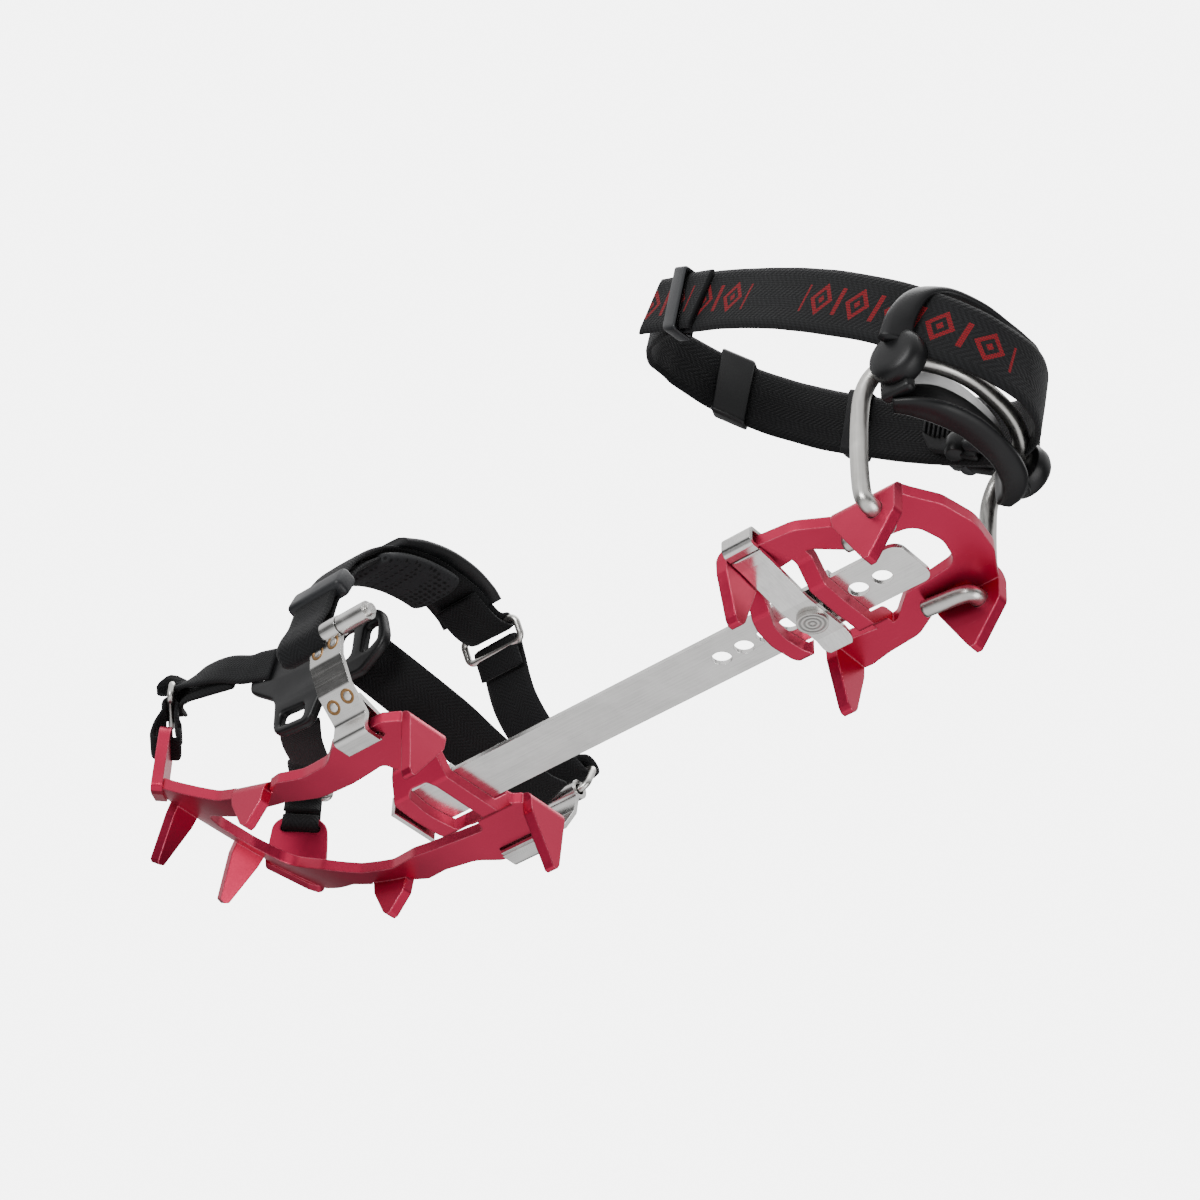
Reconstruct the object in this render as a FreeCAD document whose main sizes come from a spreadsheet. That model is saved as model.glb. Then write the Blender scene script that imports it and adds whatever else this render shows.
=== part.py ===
import FreeCAD, Part
import math
import os

# Strap-on hiking crampon for a right or left boot.
# X runs from toe (-) to heel (+), Y across the boot, Z up.  The spike tips
# of the heel frame and of the rear of the toe frame stand on z = 0.
# All sizes are millimetres.  Shapes are laid out in a drawing frame whose
# origin lies between the frames, and each piece is then placed so that the
# row origin is at the bottom centre of the whole crampon.

V = FreeCAD.Vector
os.makedirs("parts", exist_ok=True)
doc = FreeCAD.newDocument("crampon")

# ------------------------------------------------------------------ sizes
sheet = doc.addObject("Spreadsheet::Sheet", "Sizes")
DIMS = [
    ("plate_thick", 4.0, "frame plate thickness"),
    ("under_z", 20.5, "height of the frame plates' underside over the tips"),
    ("tray_z", 14.0, "height of the lowered strips' underside"),
    ("toe_rocker", 170.0, "radius of the upward curve of the toe frame"),
    ("rocker_start", -95.0, "where the upward curve starts"),
    ("bar_width", 19.05, "width of the extension bar"),
    ("bar_thick", 1.6, "thickness of the extension bar"),
    ("bar_front", -98.6, "front end of the bar"),
    ("bar_rear", 107.5, "rear end of the bar"),
    ("bar_hole_r", 3.175, "radius of the adjustment holes"),
    ("hole_pitch", 8.77, "pitch of the adjustment holes"),
    ("hole_last", 95.07, "position of the rearmost hole"),
    ("hole_count", 8, "number of adjustment holes"),
    ("lip_drop", 5.6, "drop of the bent lip at the bar's front end"),
    ("keeper_thick", 1.2, "thickness of the stainless keepers"),
    ("wire_r", 2.75, "radius of the heel bail wire"),
    ("bail_x", 112.9, "bail pivot, along the boot"),
    ("bail_z", 15.9, "bail pivot height"),
    ("bail_half", 32.2, "half width of the bail between leg centres"),
    ("pin_r", 2.75, "radius of the latch pin"),
    ("pin_x", 68.76, "latch pin, along the boot"),
    ("pin_head_r", 4.9, "radius of the latch pin head"),
    ("leaf_width", 10.6, "width of the latch leaf"),
    ("leaf_thick", 1.4, "thickness of the latch leaf"),
    ("web_wide", 22.0, "width of the ankle webbing"),
    ("web_thick", 2.2, "thickness of the webbing"),
    ("toe_web", 19.0, "width of the toe webbing"),
    ("link_width", 14.0, "width of the side link brackets"),
    ("link_thick", 1.6, "thickness of the side link brackets, doubled strip"),
    ("ring_wire_r", 1.25, "radius of the small wire rings"),
    ("origin_x", -27.9335, "row origin in the drawing frame, along the boot"),
    ("origin_y", 0.825, "row origin in the drawing frame, across"),
]
for i, (alias, val, note) in enumerate(DIMS):
    r = i + 1
    sheet.set("A%d" % r, note)
    sheet.set("B%d" % r, repr(val))
    sheet.setAlias("B%d" % r, alias)
doc.recompute()
D = {a: float(sheet.get(a)) for a, _, _ in DIMS}
T = D["plate_thick"]
U = D["under_z"]
UJ = D["tray_z"]
OX, OY = D["origin_x"], D["origin_y"]
SHIFT = FreeCAD.Placement(V(-OX, -OY, 0), FreeCAD.Rotation())
NODES = []


def put(name, shape):
    """A piece whose shape is worked out here from the sheet's sizes."""
    o = doc.addObject("Part::Feature", name)
    o.Shape = shape
    o.Label = name
    o.Placement = SHIFT.multiply(o.Placement)
    NODES.append(o)
    return o


def keep(obj, name):
    """A piece built by a parametric feature."""
    obj.Label = name
    obj.Placement = SHIFT.multiply(obj.Placement)
    NODES.append(obj)
    return obj


# ---------------------------------------------------------------- helpers
def rounded(pts, plane="XY", at=0.0):
    """Closed wire through corners (a, b, r), each rounded with radius r."""
    def P(a, b):
        if plane == "XY":
            return V(a, b, at)
        if plane == "XZ":
            return V(a, at, b)
        return V(at, a, b)
    n = len(pts)
    arcs = []
    for i in range(n):
        a = FreeCAD.Vector(pts[i - 1][0], pts[i - 1][1], 0)
        b = FreeCAD.Vector(pts[i][0], pts[i][1], 0)
        c = FreeCAD.Vector(pts[(i + 1) % n][0], pts[(i + 1) % n][1], 0)
        r = pts[i][2] if len(pts[i]) > 2 else 0
        u = (a - b)
        w = (c - b)
        lu, lw = u.Length, w.Length
        u.normalize()
        w.normalize()
        ang = u.getAngle(w)
        if r <= 0 or abs(ang - math.pi) < 1e-3:
            arcs.append((b, b, None))
            continue
        t = r / math.tan(ang / 2)
        lim = 0.49 * min(lu, lw)
        if t > lim:
            t = lim
            r = t * math.tan(ang / 2)
        p1 = b + u * t
        p2 = b + w * t
        bis = (u + w)
        bis.normalize()
        cen = b + bis * (r / math.sin(ang / 2))
        arcs.append((p1, p2, cen - bis * r))
    edges = []
    for i in range(n):
        p1, p2, m = arcs[i]
        if m is not None:
            edges.append(Part.Arc(P(p1.x, p1.y), P(m.x, m.y), P(p2.x, p2.y)).toShape())
        q = arcs[(i + 1) % n][0]
        if (q - p2).Length > 1e-6:
            edges.append(Part.LineSegment(P(p2.x, p2.y), P(q.x, q.y)).toShape())
    return Part.Wire(Part.__sortEdges__(edges))


def prism(pts, vec, plane="XY", at=0.0):
    return Part.Face(rounded(pts, plane, at)).extrude(vec)


def mirror(shape):
    return shape.mirror(V(0, 0, 0), V(0, 1, 0))


def one(shape):
    s = shape.removeSplitter()
    return s


def fuse(shapes):
    s = shapes[0]
    if len(shapes) > 1:
        s = shapes[0].multiFuse(shapes[1:])
    return s.removeSplitter()


def basis_poly(C, a, b, pts, thick_vec):
    """Rounded polygon in the plane C + u*a + v*b, extruded by thick_vec."""
    w = rounded(pts)
    m = FreeCAD.Matrix()
    n = a.cross(b)
    m.A11, m.A21, m.A31 = a.x, a.y, a.z
    m.A12, m.A22, m.A32 = b.x, b.y, b.z
    m.A13, m.A23, m.A33 = n.x, n.y, n.z
    m.A14, m.A24, m.A34 = C.x, C.y, C.z
    f = Part.Face(w)
    f = f.transformGeometry(m)
    return f.extrude(thick_vec)


def tab(C, along, up, down, pts, width, thick):
    """A tab bent off a plate: C is the middle of the inner bend corner,
    along the bend line, up the plate's far-side normal, down the way the
    tab runs.  pts is its outline (along, down)."""
    out = down.cross(along)
    out.normalize()
    # the outward face is the one away from the plate
    body = basis_poly(C, along, down, pts, out * thick)
    mid = up + out
    mid.normalize()
    A = C + up * thick
    B = C + out * thick
    M = C + mid * thick
    e = [Part.LineSegment(C, A).toShape(), Part.Arc(A, M, B).toShape(), Part.LineSegment(B, C).toShape()]
    f = Part.Face(Part.Wire(e))
    sec = f.extrude(along * width)
    sec.translate(along * (-width / 2.0))
    return body.fuse(sec)


def tube(points, radius, bend, closed=False):
    """Round wire along straight runs joined by tangent arcs."""
    pts = [V(*p[:3]) for p in points]
    n = len(pts)
    edges = []
    idx = range(n) if closed else range(1, n - 1)
    segs = []
    for i in idx:
        a, b, c = pts[i - 1], pts[i], pts[(i + 1) % n]
        u = a - b
        w = c - b
        lu, lw = u.Length, w.Length
        u.normalize()
        w.normalize()
        ang = u.getAngle(w)
        r = points[i][3] if len(points[i]) > 3 else bend
        t = r / math.tan(ang / 2)
        lim = 0.48 * min(lu, lw)
        if t > lim:
            t = lim
            r = t * math.tan(ang / 2)
        p1, p2 = b + u * t, b + w * t
        bis = u + w
        bis.normalize()
        m = b + bis * (r / math.sin(ang / 2) - r)
        segs.append((p1, m, p2))
    if closed:
        for k, (p1, m, p2) in enumerate(segs):
            edges.append(Part.Arc(p1, m, p2).toShape())
            q = segs[(k + 1) % len(segs)][0]
            edges.append(Part.LineSegment(p2, q).toShape())
        start = segs[0][0]
        tan = (segs[0][0] - segs[-1][2])
    else:
        prev = pts[0]
        for (p1, m, p2) in segs:
            if (p1 - prev).Length > 1e-6:
                edges.append(Part.LineSegment(prev, p1).toShape())
            edges.append(Part.Arc(p1, m, p2).toShape())
            prev = p2
        edges.append(Part.LineSegment(prev, pts[-1]).toShape())
        start = pts[0]
        tan = pts[1] - pts[0]
    wire = Part.Wire(edges)
    circ = Part.Wire(Part.makeCircle(radius, start, tan))
    return wire.makePipeShell([circ], True, True)


def strip_yz(line, thick, x0, x1):
    """Sheet strip: centre line in (y, z), thickness thick, from x0 to x1."""
    return sheet_line([(y, z) for y, z in line], thick, V(x0, 0, 0), V(0, 1, 0), V(0, 0, 1), x1 - x0, V(1, 0, 0))


def sheet_line(line, thick, O, a, b, width, wdir, r=None):
    """Strip of sheet whose centre line runs through the 2-D points line in
    the plane O + u*a + v*b; width along wdir."""
    n = len(line)
    L, R = [], []
    for i in range(n):
        p = FreeCAD.Vector(line[i][0], line[i][1], 0)
        if i == 0:
            d = FreeCAD.Vector(line[1][0], line[1][1], 0) - p
        elif i == n - 1:
            d = p - FreeCAD.Vector(line[-2][0], line[-2][1], 0)
        else:
            d1 = p - FreeCAD.Vector(line[i - 1][0], line[i - 1][1], 0)
            d2 = FreeCAD.Vector(line[i + 1][0], line[i + 1][1], 0) - p
            d1.normalize()
            d2.normalize()
            d = d1 + d2
            d.normalize()
            k = 1.0 / max(0.3, d.dot(d1))
            nrm = FreeCAD.Vector(-d.y, d.x, 0) * (thick / 2 * k)
            L.append(p + nrm)
            R.append(p - nrm)
            continue
        d.normalize()
        nrm = FreeCAD.Vector(-d.y, d.x, 0) * (thick / 2)
        L.append(p + nrm)
        R.append(p - nrm)
    rr = r if r is not None else thick * 1.2
    pts = []
    for i, q in enumerate(L):
        pts.append((q.x, q.y, 0 if i in (0, n - 1) else rr))
    for i, q in enumerate(reversed(R)):
        pts.append((q.x, q.y, 0 if i in (0, n - 1) else rr))
    return basis_poly(O, a, b, pts, wdir * width)


# ------------------------------------------------------- toe frame (plate)
RK = D["toe_rocker"]
RS = D["rocker_start"]


def toe_z(x):
    d = max(0.0, RS - x)
    return U + RK - math.sqrt(RK * RK - d * d)


def toe_slope(x):
    d = max(0.0, RS - x)
    return math.asin(d / RK)


half = [(-201, 8, 3), (-199, 9.5, 1), (-196.5, 21, 1), (-199, 24, 3), (-183, 39.5, 3),
        (-172, 36.5, 10), (-160, 32.5, 8), (-150.5, 33.2, 2), (-150, 32, 0.5), (-132.5, 32, 0.5), (-132, 34.5, 1.5),
        (-126, 36.2, 4), (-116, 34.2, 12), (-103, 35.5, 10), (-95.5, 41, 4), (-73.5, 41, 3.5),
        (-69.5, 38.5, 2), (-68.0, 37.5, 0.5), (-68.0, 20.0, 0.5), (-71.0, 18.0, 2)]
inner = [(-71.0, 15.4, 0), (-84.0, 15.4, 0), (-84.0, 19.2, 1.2), (-87.5, 19.2, 1.5), (-88.5, 24, 2.4), (-104, 22.5, 10),
         (-120, 22.2, 12), (-133, 25.3, 8), (-148, 24.6, 10), (-164, 20.5, 14), (-181, 20.0, 9), (-187.5, 8, 8)]
loop = [(x, y, r) for x, y, r in half] + [(x, y, r) for x, y, r in inner]
loop += [(x, -y, r) for x, y, r in reversed(inner)] + [(x, -y, r) for x, y, r in reversed(half)]
blank = prism(loop, V(0, 0, 80), "XY", 10)
# curved sheet section in XZ, swept across the width
p0 = V(-60, -60, U)
p1 = V(RS, -60, U)
xe = -215.0
de = RS - xe
pe = V(xe, -60, U + RK - math.sqrt(RK * RK - de * de))
dm = de / 2
pm = V(RS - dm, -60, U + RK - math.sqrt(RK * RK - dm * dm))
RI = RK - T
ce = V(RS, -60, U + RK)


def on(r, x):
    d = (RS - x)
    return V(RS - r / RK * d, -60, U + RK - r / RK * math.sqrt(RK * RK - d * d))


q0 = V(-60, -60, U + T)
q1 = V(RS, -60, U + T)
qe, qm = on(RI, xe), on(RI, RS - dm)
sec = Part.Wire([Part.LineSegment(p0, p1).toShape(), Part.Arc(p1, pm, pe).toShape(), Part.LineSegment(pe, qe).toShape(),
                 Part.Arc(qe, qm, q1).toShape(), Part.LineSegment(q1, q0).toShape(), Part.LineSegment(q0, p0).toShape()])
curved = Part.Face(sec).extrude(V(0, 120, 0))
toe_plate = blank.common(curved)

# lowered tray that carries the bar: two cross strips and their side walls
ys = [-24, -18.6, -12.1, 12.1, 18.6, 24]
k = T * math.tan(math.radians(22.5))
tray_pts = [(ys[0], U, 0), (ys[1], U, 2), (ys[2], UJ, 2), (ys[3], UJ, 2), (ys[4], U, 2), (ys[5], U, 0),
            (24, U + T, 0), (ys[4] - k, U + T, 5), (ys[3] - k, UJ + T, 0.4), (ys[2] + k, UJ + T, 0.4), (ys[1] + k, U + T, 5), (-24, U + T, 0)]


def tray(x0, x1):
    return prism(tray_pts, V(x1 - x0, 0, 0), "YZ", x0)


mask = prism([(-71, -21, 1), (-71, 21, 1), (-84, 21, 0.2), (-84, 19.2, 0.8), (-90, 19.2, 4), (-95.5, 11, 6), (-96.3, 0, 40), (-95.5, -11, 6), (-90, -19.2, 4), (-84, -19.2, 0.8), (-84, -21, 0.2)], V(0, 0, 30), "XY", 5)
window = prism([(-77.2, -13.2, 3), (-77.2, 13.2, 3), (-88.4, 13.4, 4), (-90.6, 0, 30), (-88.4, -13.4, 4)], V(0, 0, 30), "XY", 5)
toe_tray = tray(-97, -70).common(mask).cut(window)

spikes = []
# rear spikes, bent down across the back edge
sp = tab(V(-68.0, 28.75, U), V(0, 1, 0), V(0, 0, 1), V(0, 0, -1),
         [(-8.25, -0.2, 0), (8.25, -0.2, 0), (7.9, 4, 2), (6.6, 18.6, 1.2), (5.6, 20.5, 0.6), (4.0, 20.5, 0.6), (2.6, 18.4, 1.5), (-7.6, 4, 3)], 16.5, T)
spikes += [sp, mirror(sp)]
# side spikes, bent down along the rails where the plate starts to rise
xm = -141.25
a = toe_slope(xm)
al = V(math.cos(a), 0, -math.sin(a))
upn = V(math.sin(a), 0, math.cos(a))
sp = tab(V(xm, 32.0, toe_z(xm)), al * -1, upn, V(0, 0, -1),
         [(-8.3, -0.3, 0), (8.3, -0.3, 0), (7.5, 4.5, 2), (1.9, 13.0, 1.0), (0.2, 13.8, 0.6), (-1.5, 13.0, 1.0), (-7.5, 4.5, 2)], 16.6, T)
spikes += [sp, mirror(sp)]
# front points, bent forward and down
C = V(-197.75, 15.25, toe_z(-197.75))
al = V(2.5, 11.5, 0)
al.z = -math.tan(toe_slope(-197.75)) * 2.5
al.normalize()
sl = toe_slope(-197.75)
upn = V(math.sin(sl), 0, math.cos(sl))
dn = V(-10.8, 2.2, -18.5)
dn = dn - al * dn.dot(al)
dn.normalize()
sp = tab(C, al * -1, upn, dn,
         [(-5.9, -0.4, 0), (5.9, -0.4, 0), (5.6, 4, 2), (1.2, 20.6, 0.9), (-1.0, 21.2, 0.7), (-2.4, 20.4, 0.9), (-5.6, 4, 3)], 11.8, T)
spikes += [sp, mirror(sp)]
# front posts, bent up across the rounded corners, each with a strap slot
C = V(-191.0, 31.75, toe_z(-191.0) + 0)
al = V(16, 15.5, 0)
al.normalize()
sl = toe_slope(-191)
d2 = V(0, 0, 1)
zt = toe_z(-191.0)
post = basis_poly(V(-191.0, 31.75, zt - 2.0), al, d2,
                  [(-11.5, 7.0, 2), (-10.8, 15, 3), (-9.8, 27.5, 9), (9.8, 27.5, 9), (10.6, 14, 3), (10.8, -3.2, 2), (5, -1.4, 2)], V(-al.y, al.x, 0) * T)
slot = basis_poly(V(-191.0, 31.75, zt - 2.0) + V(-al.y, al.x, 0) * -2, al, d2,
                  [(-7.2, 20.8, 1.2), (7.2, 20.8, 1.2), (7.2, 24.0, 1.2), (-7.2, 24.0, 1.2)], V(-al.y, al.x, 0) * (T + 4))
post = post.cut(slot)
spikes += [post, mirror(post)]

toe = fuse([toe_plate, toe_tray] + spikes)
# link slots near the outer edge of each rail
for s in (1, -1):
    cut = prism([(-92.5, s * 35.0, 1.5), (-76.5, s * 35.0, 1.5), (-76.5, s * 38.2, 1.5), (-92.5, s * 38.2, 1.5)], V(0, 0, 30), "XY", 10)
    toe = toe.cut(cut)
put("toe_frame", one(toe))

# ----------------------------------------------------------- heel frame
hh = [(63.0, 19.2, 0.5), (63.0, 34.0, 0.5), (66.0, 34.2, 2), (74, 32.5, 10), (86, 31.2, 10), (95.5, 25.6, 2), (97, 24.0, 0.5),
      (120.3, 24.0, 0.5), (121.5, 21.5, 3), (126.5, 13, 8), (129.0, 0.0, 14)]
hi = [(117.2, 0.0, 9), (114.5, 10.5, 6), (104, 12.2, 9), (94.5, 12.8, 6), (85, 21.2, 6), (83.5, 21.6, 2)]
loop = [(x, y, r) for x, y, r in hh[:-1]] + [hh[-1]] + [(x, -y, r) for x, y, r in reversed(hh[:-1])]
loop += [(63.0, -19.2, 0.5)] * 0
loop += [(x, -y, r) for x, y, r in reversed(hi[1:])] + [hi[0]] + [(x, y, r) for x, y, r in hi[1:]]
plate = prism(loop, V(0, 0, T), "XY", U)
strip2 = tray(76.9, 83.2).common(prism([(77.6, -23.5, 0.5), (83.2, -23.5, 0.5), (82.6, 0, 30), (83.2, 23.5, 0.5), (77.6, 23.5, 0.5), (77.0, 0, 30)], V(0, 0, 30), "XY", 5))
# open hook strip: joined to the near rail only, so the bar drops in sideways
hook = tray(50, 70).common(prism([(64.5, -23.5, 0.5), (60.5, -23.5, 0.5), (57.0, -16.5, 5), (53.3, -7, 8), (52.2, 1, 12), (53.2, 10, 6), (55.5, 14.0, 2.4), (60.5, 13.6, 2.4), (58.6, 8.5, 3), (57.8, 1, 12), (58.8, -6, 8), (62.4, -13.0, 4), (62.6, -19.4, 0.6), (64.5, -20.5, 0.5)], V(0, 0, 30), "XY", 5))
hs = []
# front spikes, bent down across the front edge
sp = tab(V(63.0, 26.6, U), V(0, -1, 0), V(0, 0, 1), V(0, 0, -1),
         [(-7.3, -0.2, 0), (7.3, -0.2, 0), (6.9, 4, 2), (1.6, 18.9, 1.2), (0.4, 20.5, 0.6), (-1.6, 20.5, 0.6), (-2.8, 18.8, 1.2), (-7.0, 4, 2)], 14.6, T)
hs += [sp, mirror(sp)]
# rear spikes, bent down along the sides, with the bail holes
sp = tab(V(108.75, 24.0, U), V(-1, 0, 0), V(0, 0, 1), V(0, 0, -1),
         [(-11.5, -0.2, 0), (11.5, -0.2, 0), (10.9, 3.2, 2), (1.6, 18.9, 1.2), (0.5, 20.5, 0.6), (-1.3, 20.5, 0.6), (-2.6, 18.9, 1.2), (-11.2, 7.2, 3)], 23.0, T)
hs += [sp, mirror(sp)]
heel = fuse([plate, strip2, hook] + hs)
hole = Part.makeCylinder(D["wire_r"] + 0.15, 80, V(D["bail_x"], -40, D["bail_z"]), V(0, 1, 0))
heel = heel.cut(hole)
put("heel_frame", one(heel))

# -------------------------------------------- extension bar (PartDesign)
bar = doc.addObject("PartDesign::Body", "Bar")
org = {f.Role: f for f in bar.Origin.OriginFeatures}
sk = bar.newObject("Sketcher::SketchObject", "BarOutline")
sk.AttachmentSupport = (org["XY_Plane"], [""])
sk.MapMode = "FlatFace"
import Sketcher
xa, xb, hw = D["bar_front"], D["bar_rear"], D["bar_width"] / 2
P = [V(xa, -hw, 0), V(xb, -hw, 0), V(xb, hw, 0), V(xa, hw, 0)]
for i in range(4):
    sk.addGeometry(Part.LineSegment(P[i], P[(i + 1) % 4]), False)
for i in range(4):
    sk.addConstraint(Sketcher.Constraint("Coincident", i, 2, (i + 1) % 4, 1))
sk.addConstraint(Sketcher.Constraint("Horizontal", 0))
sk.addConstraint(Sketcher.Constraint("Vertical", 1))
sk.addConstraint(Sketcher.Constraint("Horizontal", 2))
sk.addConstraint(Sketcher.Constraint("Vertical", 3))
c1 = sk.addConstraint(Sketcher.Constraint("DistanceX", -1, 1, 1, 1, xb))
sk.setExpression("Constraints[%d]" % c1, "Sizes.bar_rear")
c2 = sk.addConstraint(Sketcher.Constraint("DistanceX", 0, 1, -1, 1, -xa))
sk.setExpression("Constraints[%d]" % c2, "-Sizes.bar_front")
c3 = sk.addConstraint(Sketcher.Constraint("DistanceY", 0, 1, -1, 1, hw))
sk.setExpression("Constraints[%d]" % c3, "Sizes.bar_width / 2")
c4 = sk.addConstraint(Sketcher.Constraint("DistanceY", -1, 1, 2, 1, hw))
sk.setExpression("Constraints[%d]" % c4, "Sizes.bar_width / 2")
pad = bar.newObject("PartDesign::Pad", "BarPad")
pad.Profile = sk
pad.setExpression("Length", "Sizes.bar_thick")
doc.recompute()
# lip bent down at the front end, in front of the toe frame's tray
sk2 = bar.newObject("Sketcher::SketchObject", "LipOutline")
sk2.AttachmentSupport = (org["XY_Plane"], [""])
sk2.MapMode = "FlatFace"
lt = D["bar_thick"]
Q = [V(xa, -hw, 0), V(xa + lt, -hw, 0), V(xa + lt, hw, 0), V(xa, hw, 0)]
for i in range(4):
    sk2.addGeometry(Part.LineSegment(Q[i], Q[(i + 1) % 4]), False)
lip = bar.newObject("PartDesign::Pad", "LipPad")
lip.Profile = sk2
lip.Reversed = True
lip.setExpression("Length", "Sizes.lip_drop")
doc.recompute()
sk3 = bar.newObject("Sketcher::SketchObject", "HoleOutline")
sk3.AttachmentSupport = (org["XY_Plane"], [""])
sk3.MapMode = "FlatFace"
sk3.addGeometry(Part.Circle(V(D["hole_last"], 0, 0), V(0, 0, 1), D["bar_hole_r"]), False)
sk3.addConstraint(Sketcher.Constraint("PointOnObject", 0, 3, -1))
ch = sk3.addConstraint(Sketcher.Constraint("Radius", 0, D["bar_hole_r"]))
sk3.setExpression("Constraints[%d]" % ch, "Sizes.bar_hole_r")
cd = sk3.addConstraint(Sketcher.Constraint("DistanceX", -1, 1, 0, 3, D["hole_last"]))
sk3.setExpression("Constraints[%d]" % cd, "Sizes.hole_last")
poc = bar.newObject("PartDesign::Pocket", "Hole1")
poc.Profile = sk3
poc.Type = 1
poc.Midplane = True
doc.recompute()
pat = bar.newObject("PartDesign::LinearPattern", "HoleRow")
pat.Originals = [poc]
pat.Direction = (org["X_Axis"], [""])
pat.Reversed = True
pat.setExpression("Occurrences", "Sizes.hole_count")
pat.setExpression("Length", "Sizes.hole_pitch * (Sizes.hole_count - 1)")
bar.Tip = pat
doc.recompute()
edges = []
for i, e in enumerate(pat.Shape.Edges):
    if len(e.Vertexes) == 2:
        a, b = e.Vertexes[0].Point, e.Vertexes[1].Point
        if abs(a.x - xb) < 1e-3 and abs(b.x - xb) < 1e-3 and abs(a.y - b.y) < 1e-3:
            edges.append("Edge%d" % (i + 1))
fil = bar.newObject("PartDesign::Fillet", "BarCorners")
fil.Base = (pat, edges)
fil.Radius = 4.0
bar.Tip = fil
doc.recompute()
bar.Placement = FreeCAD.Placement(V(0, 0, UJ + T + 0.1), FreeCAD.Rotation())
keep(bar, "extension_bar")
BZ = UJ + T + 0.1

# -------------------------------------------- stainless keepers over bar
kt = D["keeper_thick"]
bt = D["bar_thick"]
zk = BZ + bt + 0.25


def keeper(x0, x1):
    line = [(-13.0, UJ + T + 1.9), (-10.9, zk + kt / 2), (10.9, zk + kt / 2), (13.0, UJ + T + 1.9)]
    return strip_yz(line, kt, x0, x1)


def keeper_box(name, x0, length):
    b = doc.addObject("Part::Box", name + "Plate")
    b.setExpression("Width", "2 * 10.2")
    b.setExpression("Height", "Sizes.keeper_thick")
    b.Length = length
    b.Placement = FreeCAD.Placement(V(x0, -10.2, zk), FreeCAD.Rotation())
    legs = []
    for i, s in enumerate((-1, 1)):
        g = doc.addObject("Part::Box", name + "Leg%d" % i)
        g.Length = length
        g.Width = 0.55
        g.Height = zk - (UJ + T) - 0.0 + kt
        g.Placement = FreeCAD.Placement(V(x0, 9.65 if s > 0 else -10.2, UJ + T + 0.0), FreeCAD.Rotation())
        legs.append(g)
    m = doc.addObject("Part::MultiFuse", name)
    m.Shapes = [b] + legs
    doc.recompute()
    return m


keep(keeper_box("ToeKeeper", -77.2, 5.4), "toe_bar_keeper")
keep(keeper_box("HeelKeeper", 77.6, 5.0), "heel_bar_keeper")

# ----------------------------------------------------------- latch
px = D["pin_x"]
lw = D["leaf_width"]
lth = D["leaf_thick"]
yo = -36.1
clip = strip_yz([(-24.0, U + T + lth / 2 + 0.02), (yo + 0.6, U + T + lth / 2 + 0.02), (yo, U + T - 0.3), (yo, U + 0.6), (yo + 1.0, U - lth / 2 - 0.05), (-32.5, U - lth / 2 - 0.05)], lth, px - lw / 2, px + lw / 2)
put("latch_clip", one(clip))
riv = []
for dx in (-3.4, 3.4):
    riv.append(Part.makeSphere(2.4, V(px + dx, -27.6, U + T + lth - 0.9)).common(Part.makeBox(10, 10, 5, V(px + dx - 5, -32.6, U + T + lth + 0.03))))
put("latch_rivets", Part.makeCompound(riv))
leafline = [(-31.0, U - lth / 2 - 0.25), (-27.5, U - lth / 2 - 0.6), (-8.8, 15.9), (9.0, 15.9), (14.6, 14.2)]
leaf = strip_yz(leafline, lth, px - lw / 2, px + lw / 2)
corner = prism([(px - lw / 2, -33, 0), (px + lw / 2, -33, 0), (px + lw / 2, 15.2, 3.5), (px - lw / 2, 15.2, 3.5)], V(0, 0, 30), "XY", 5)
leaf = leaf.fuse(Part.makeCylinder(0.7, lw, V(px - lw / 2, -31.25, 19.55), V(1, 0, 0)))
leaf = leaf.common(corner).cut(Part.makeCylinder(D["pin_r"] + 0.0, 10, V(px, 0, 10)))
put("latch_leaf", one(leaf))
shank = doc.addObject("Part::Cylinder", "PinShank")
shank.setExpression("Radius", "Sizes.pin_r")
shank.Height = 6.3
shank.Placement = FreeCAD.Placement(V(px, 0, 14.9), FreeCAD.Rotation())
head = doc.addObject("Part::Cylinder", "PinHead")
head.setExpression("Radius", "Sizes.pin_head_r")
head.Height = 1.5
head.Placement = FreeCAD.Placement(V(px, 0, 13.65), FreeCAD.Rotation())
pinf = doc.addObject("Part::MultiFuse", "LatchPin")
pinf.Shapes = [shank, head]
doc.recompute()
keep(pinf, "latch_pin")

# ----------------------------------------------------------- heel bail
bx, bz, bh, wr = D["bail_x"], D["bail_z"], D["bail_half"], D["wire_r"]
ty = 19.4
route = [(96.5, -ty, bz + 1.6), (bx, -ty, bz, 4.0), (bx, -bh, bz, 4.0), (bx + 3.0, -bh, bz + 20, 40), (bx + 13.0, -bh + 0.4, bz + 50.0, 8), (bx + 20.5, -22.5, bz + 49.4, 8),
         (bx + 25.2, -9.5, bz + 49.8, 12), (bx + 25.2, 9.5, bz + 49.8, 12), (bx + 20.5, 22.5, bz + 49.4, 8), (bx + 13.0, bh - 0.4, bz + 50.0, 8), (bx + 3.0, bh, bz + 20, 40), (bx, bh, bz, 4.0), (bx, ty, bz, 4.0), (96.5, ty, bz + 1.6)]
put("heel_bail", tube(route, wr, 7.0))

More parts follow.
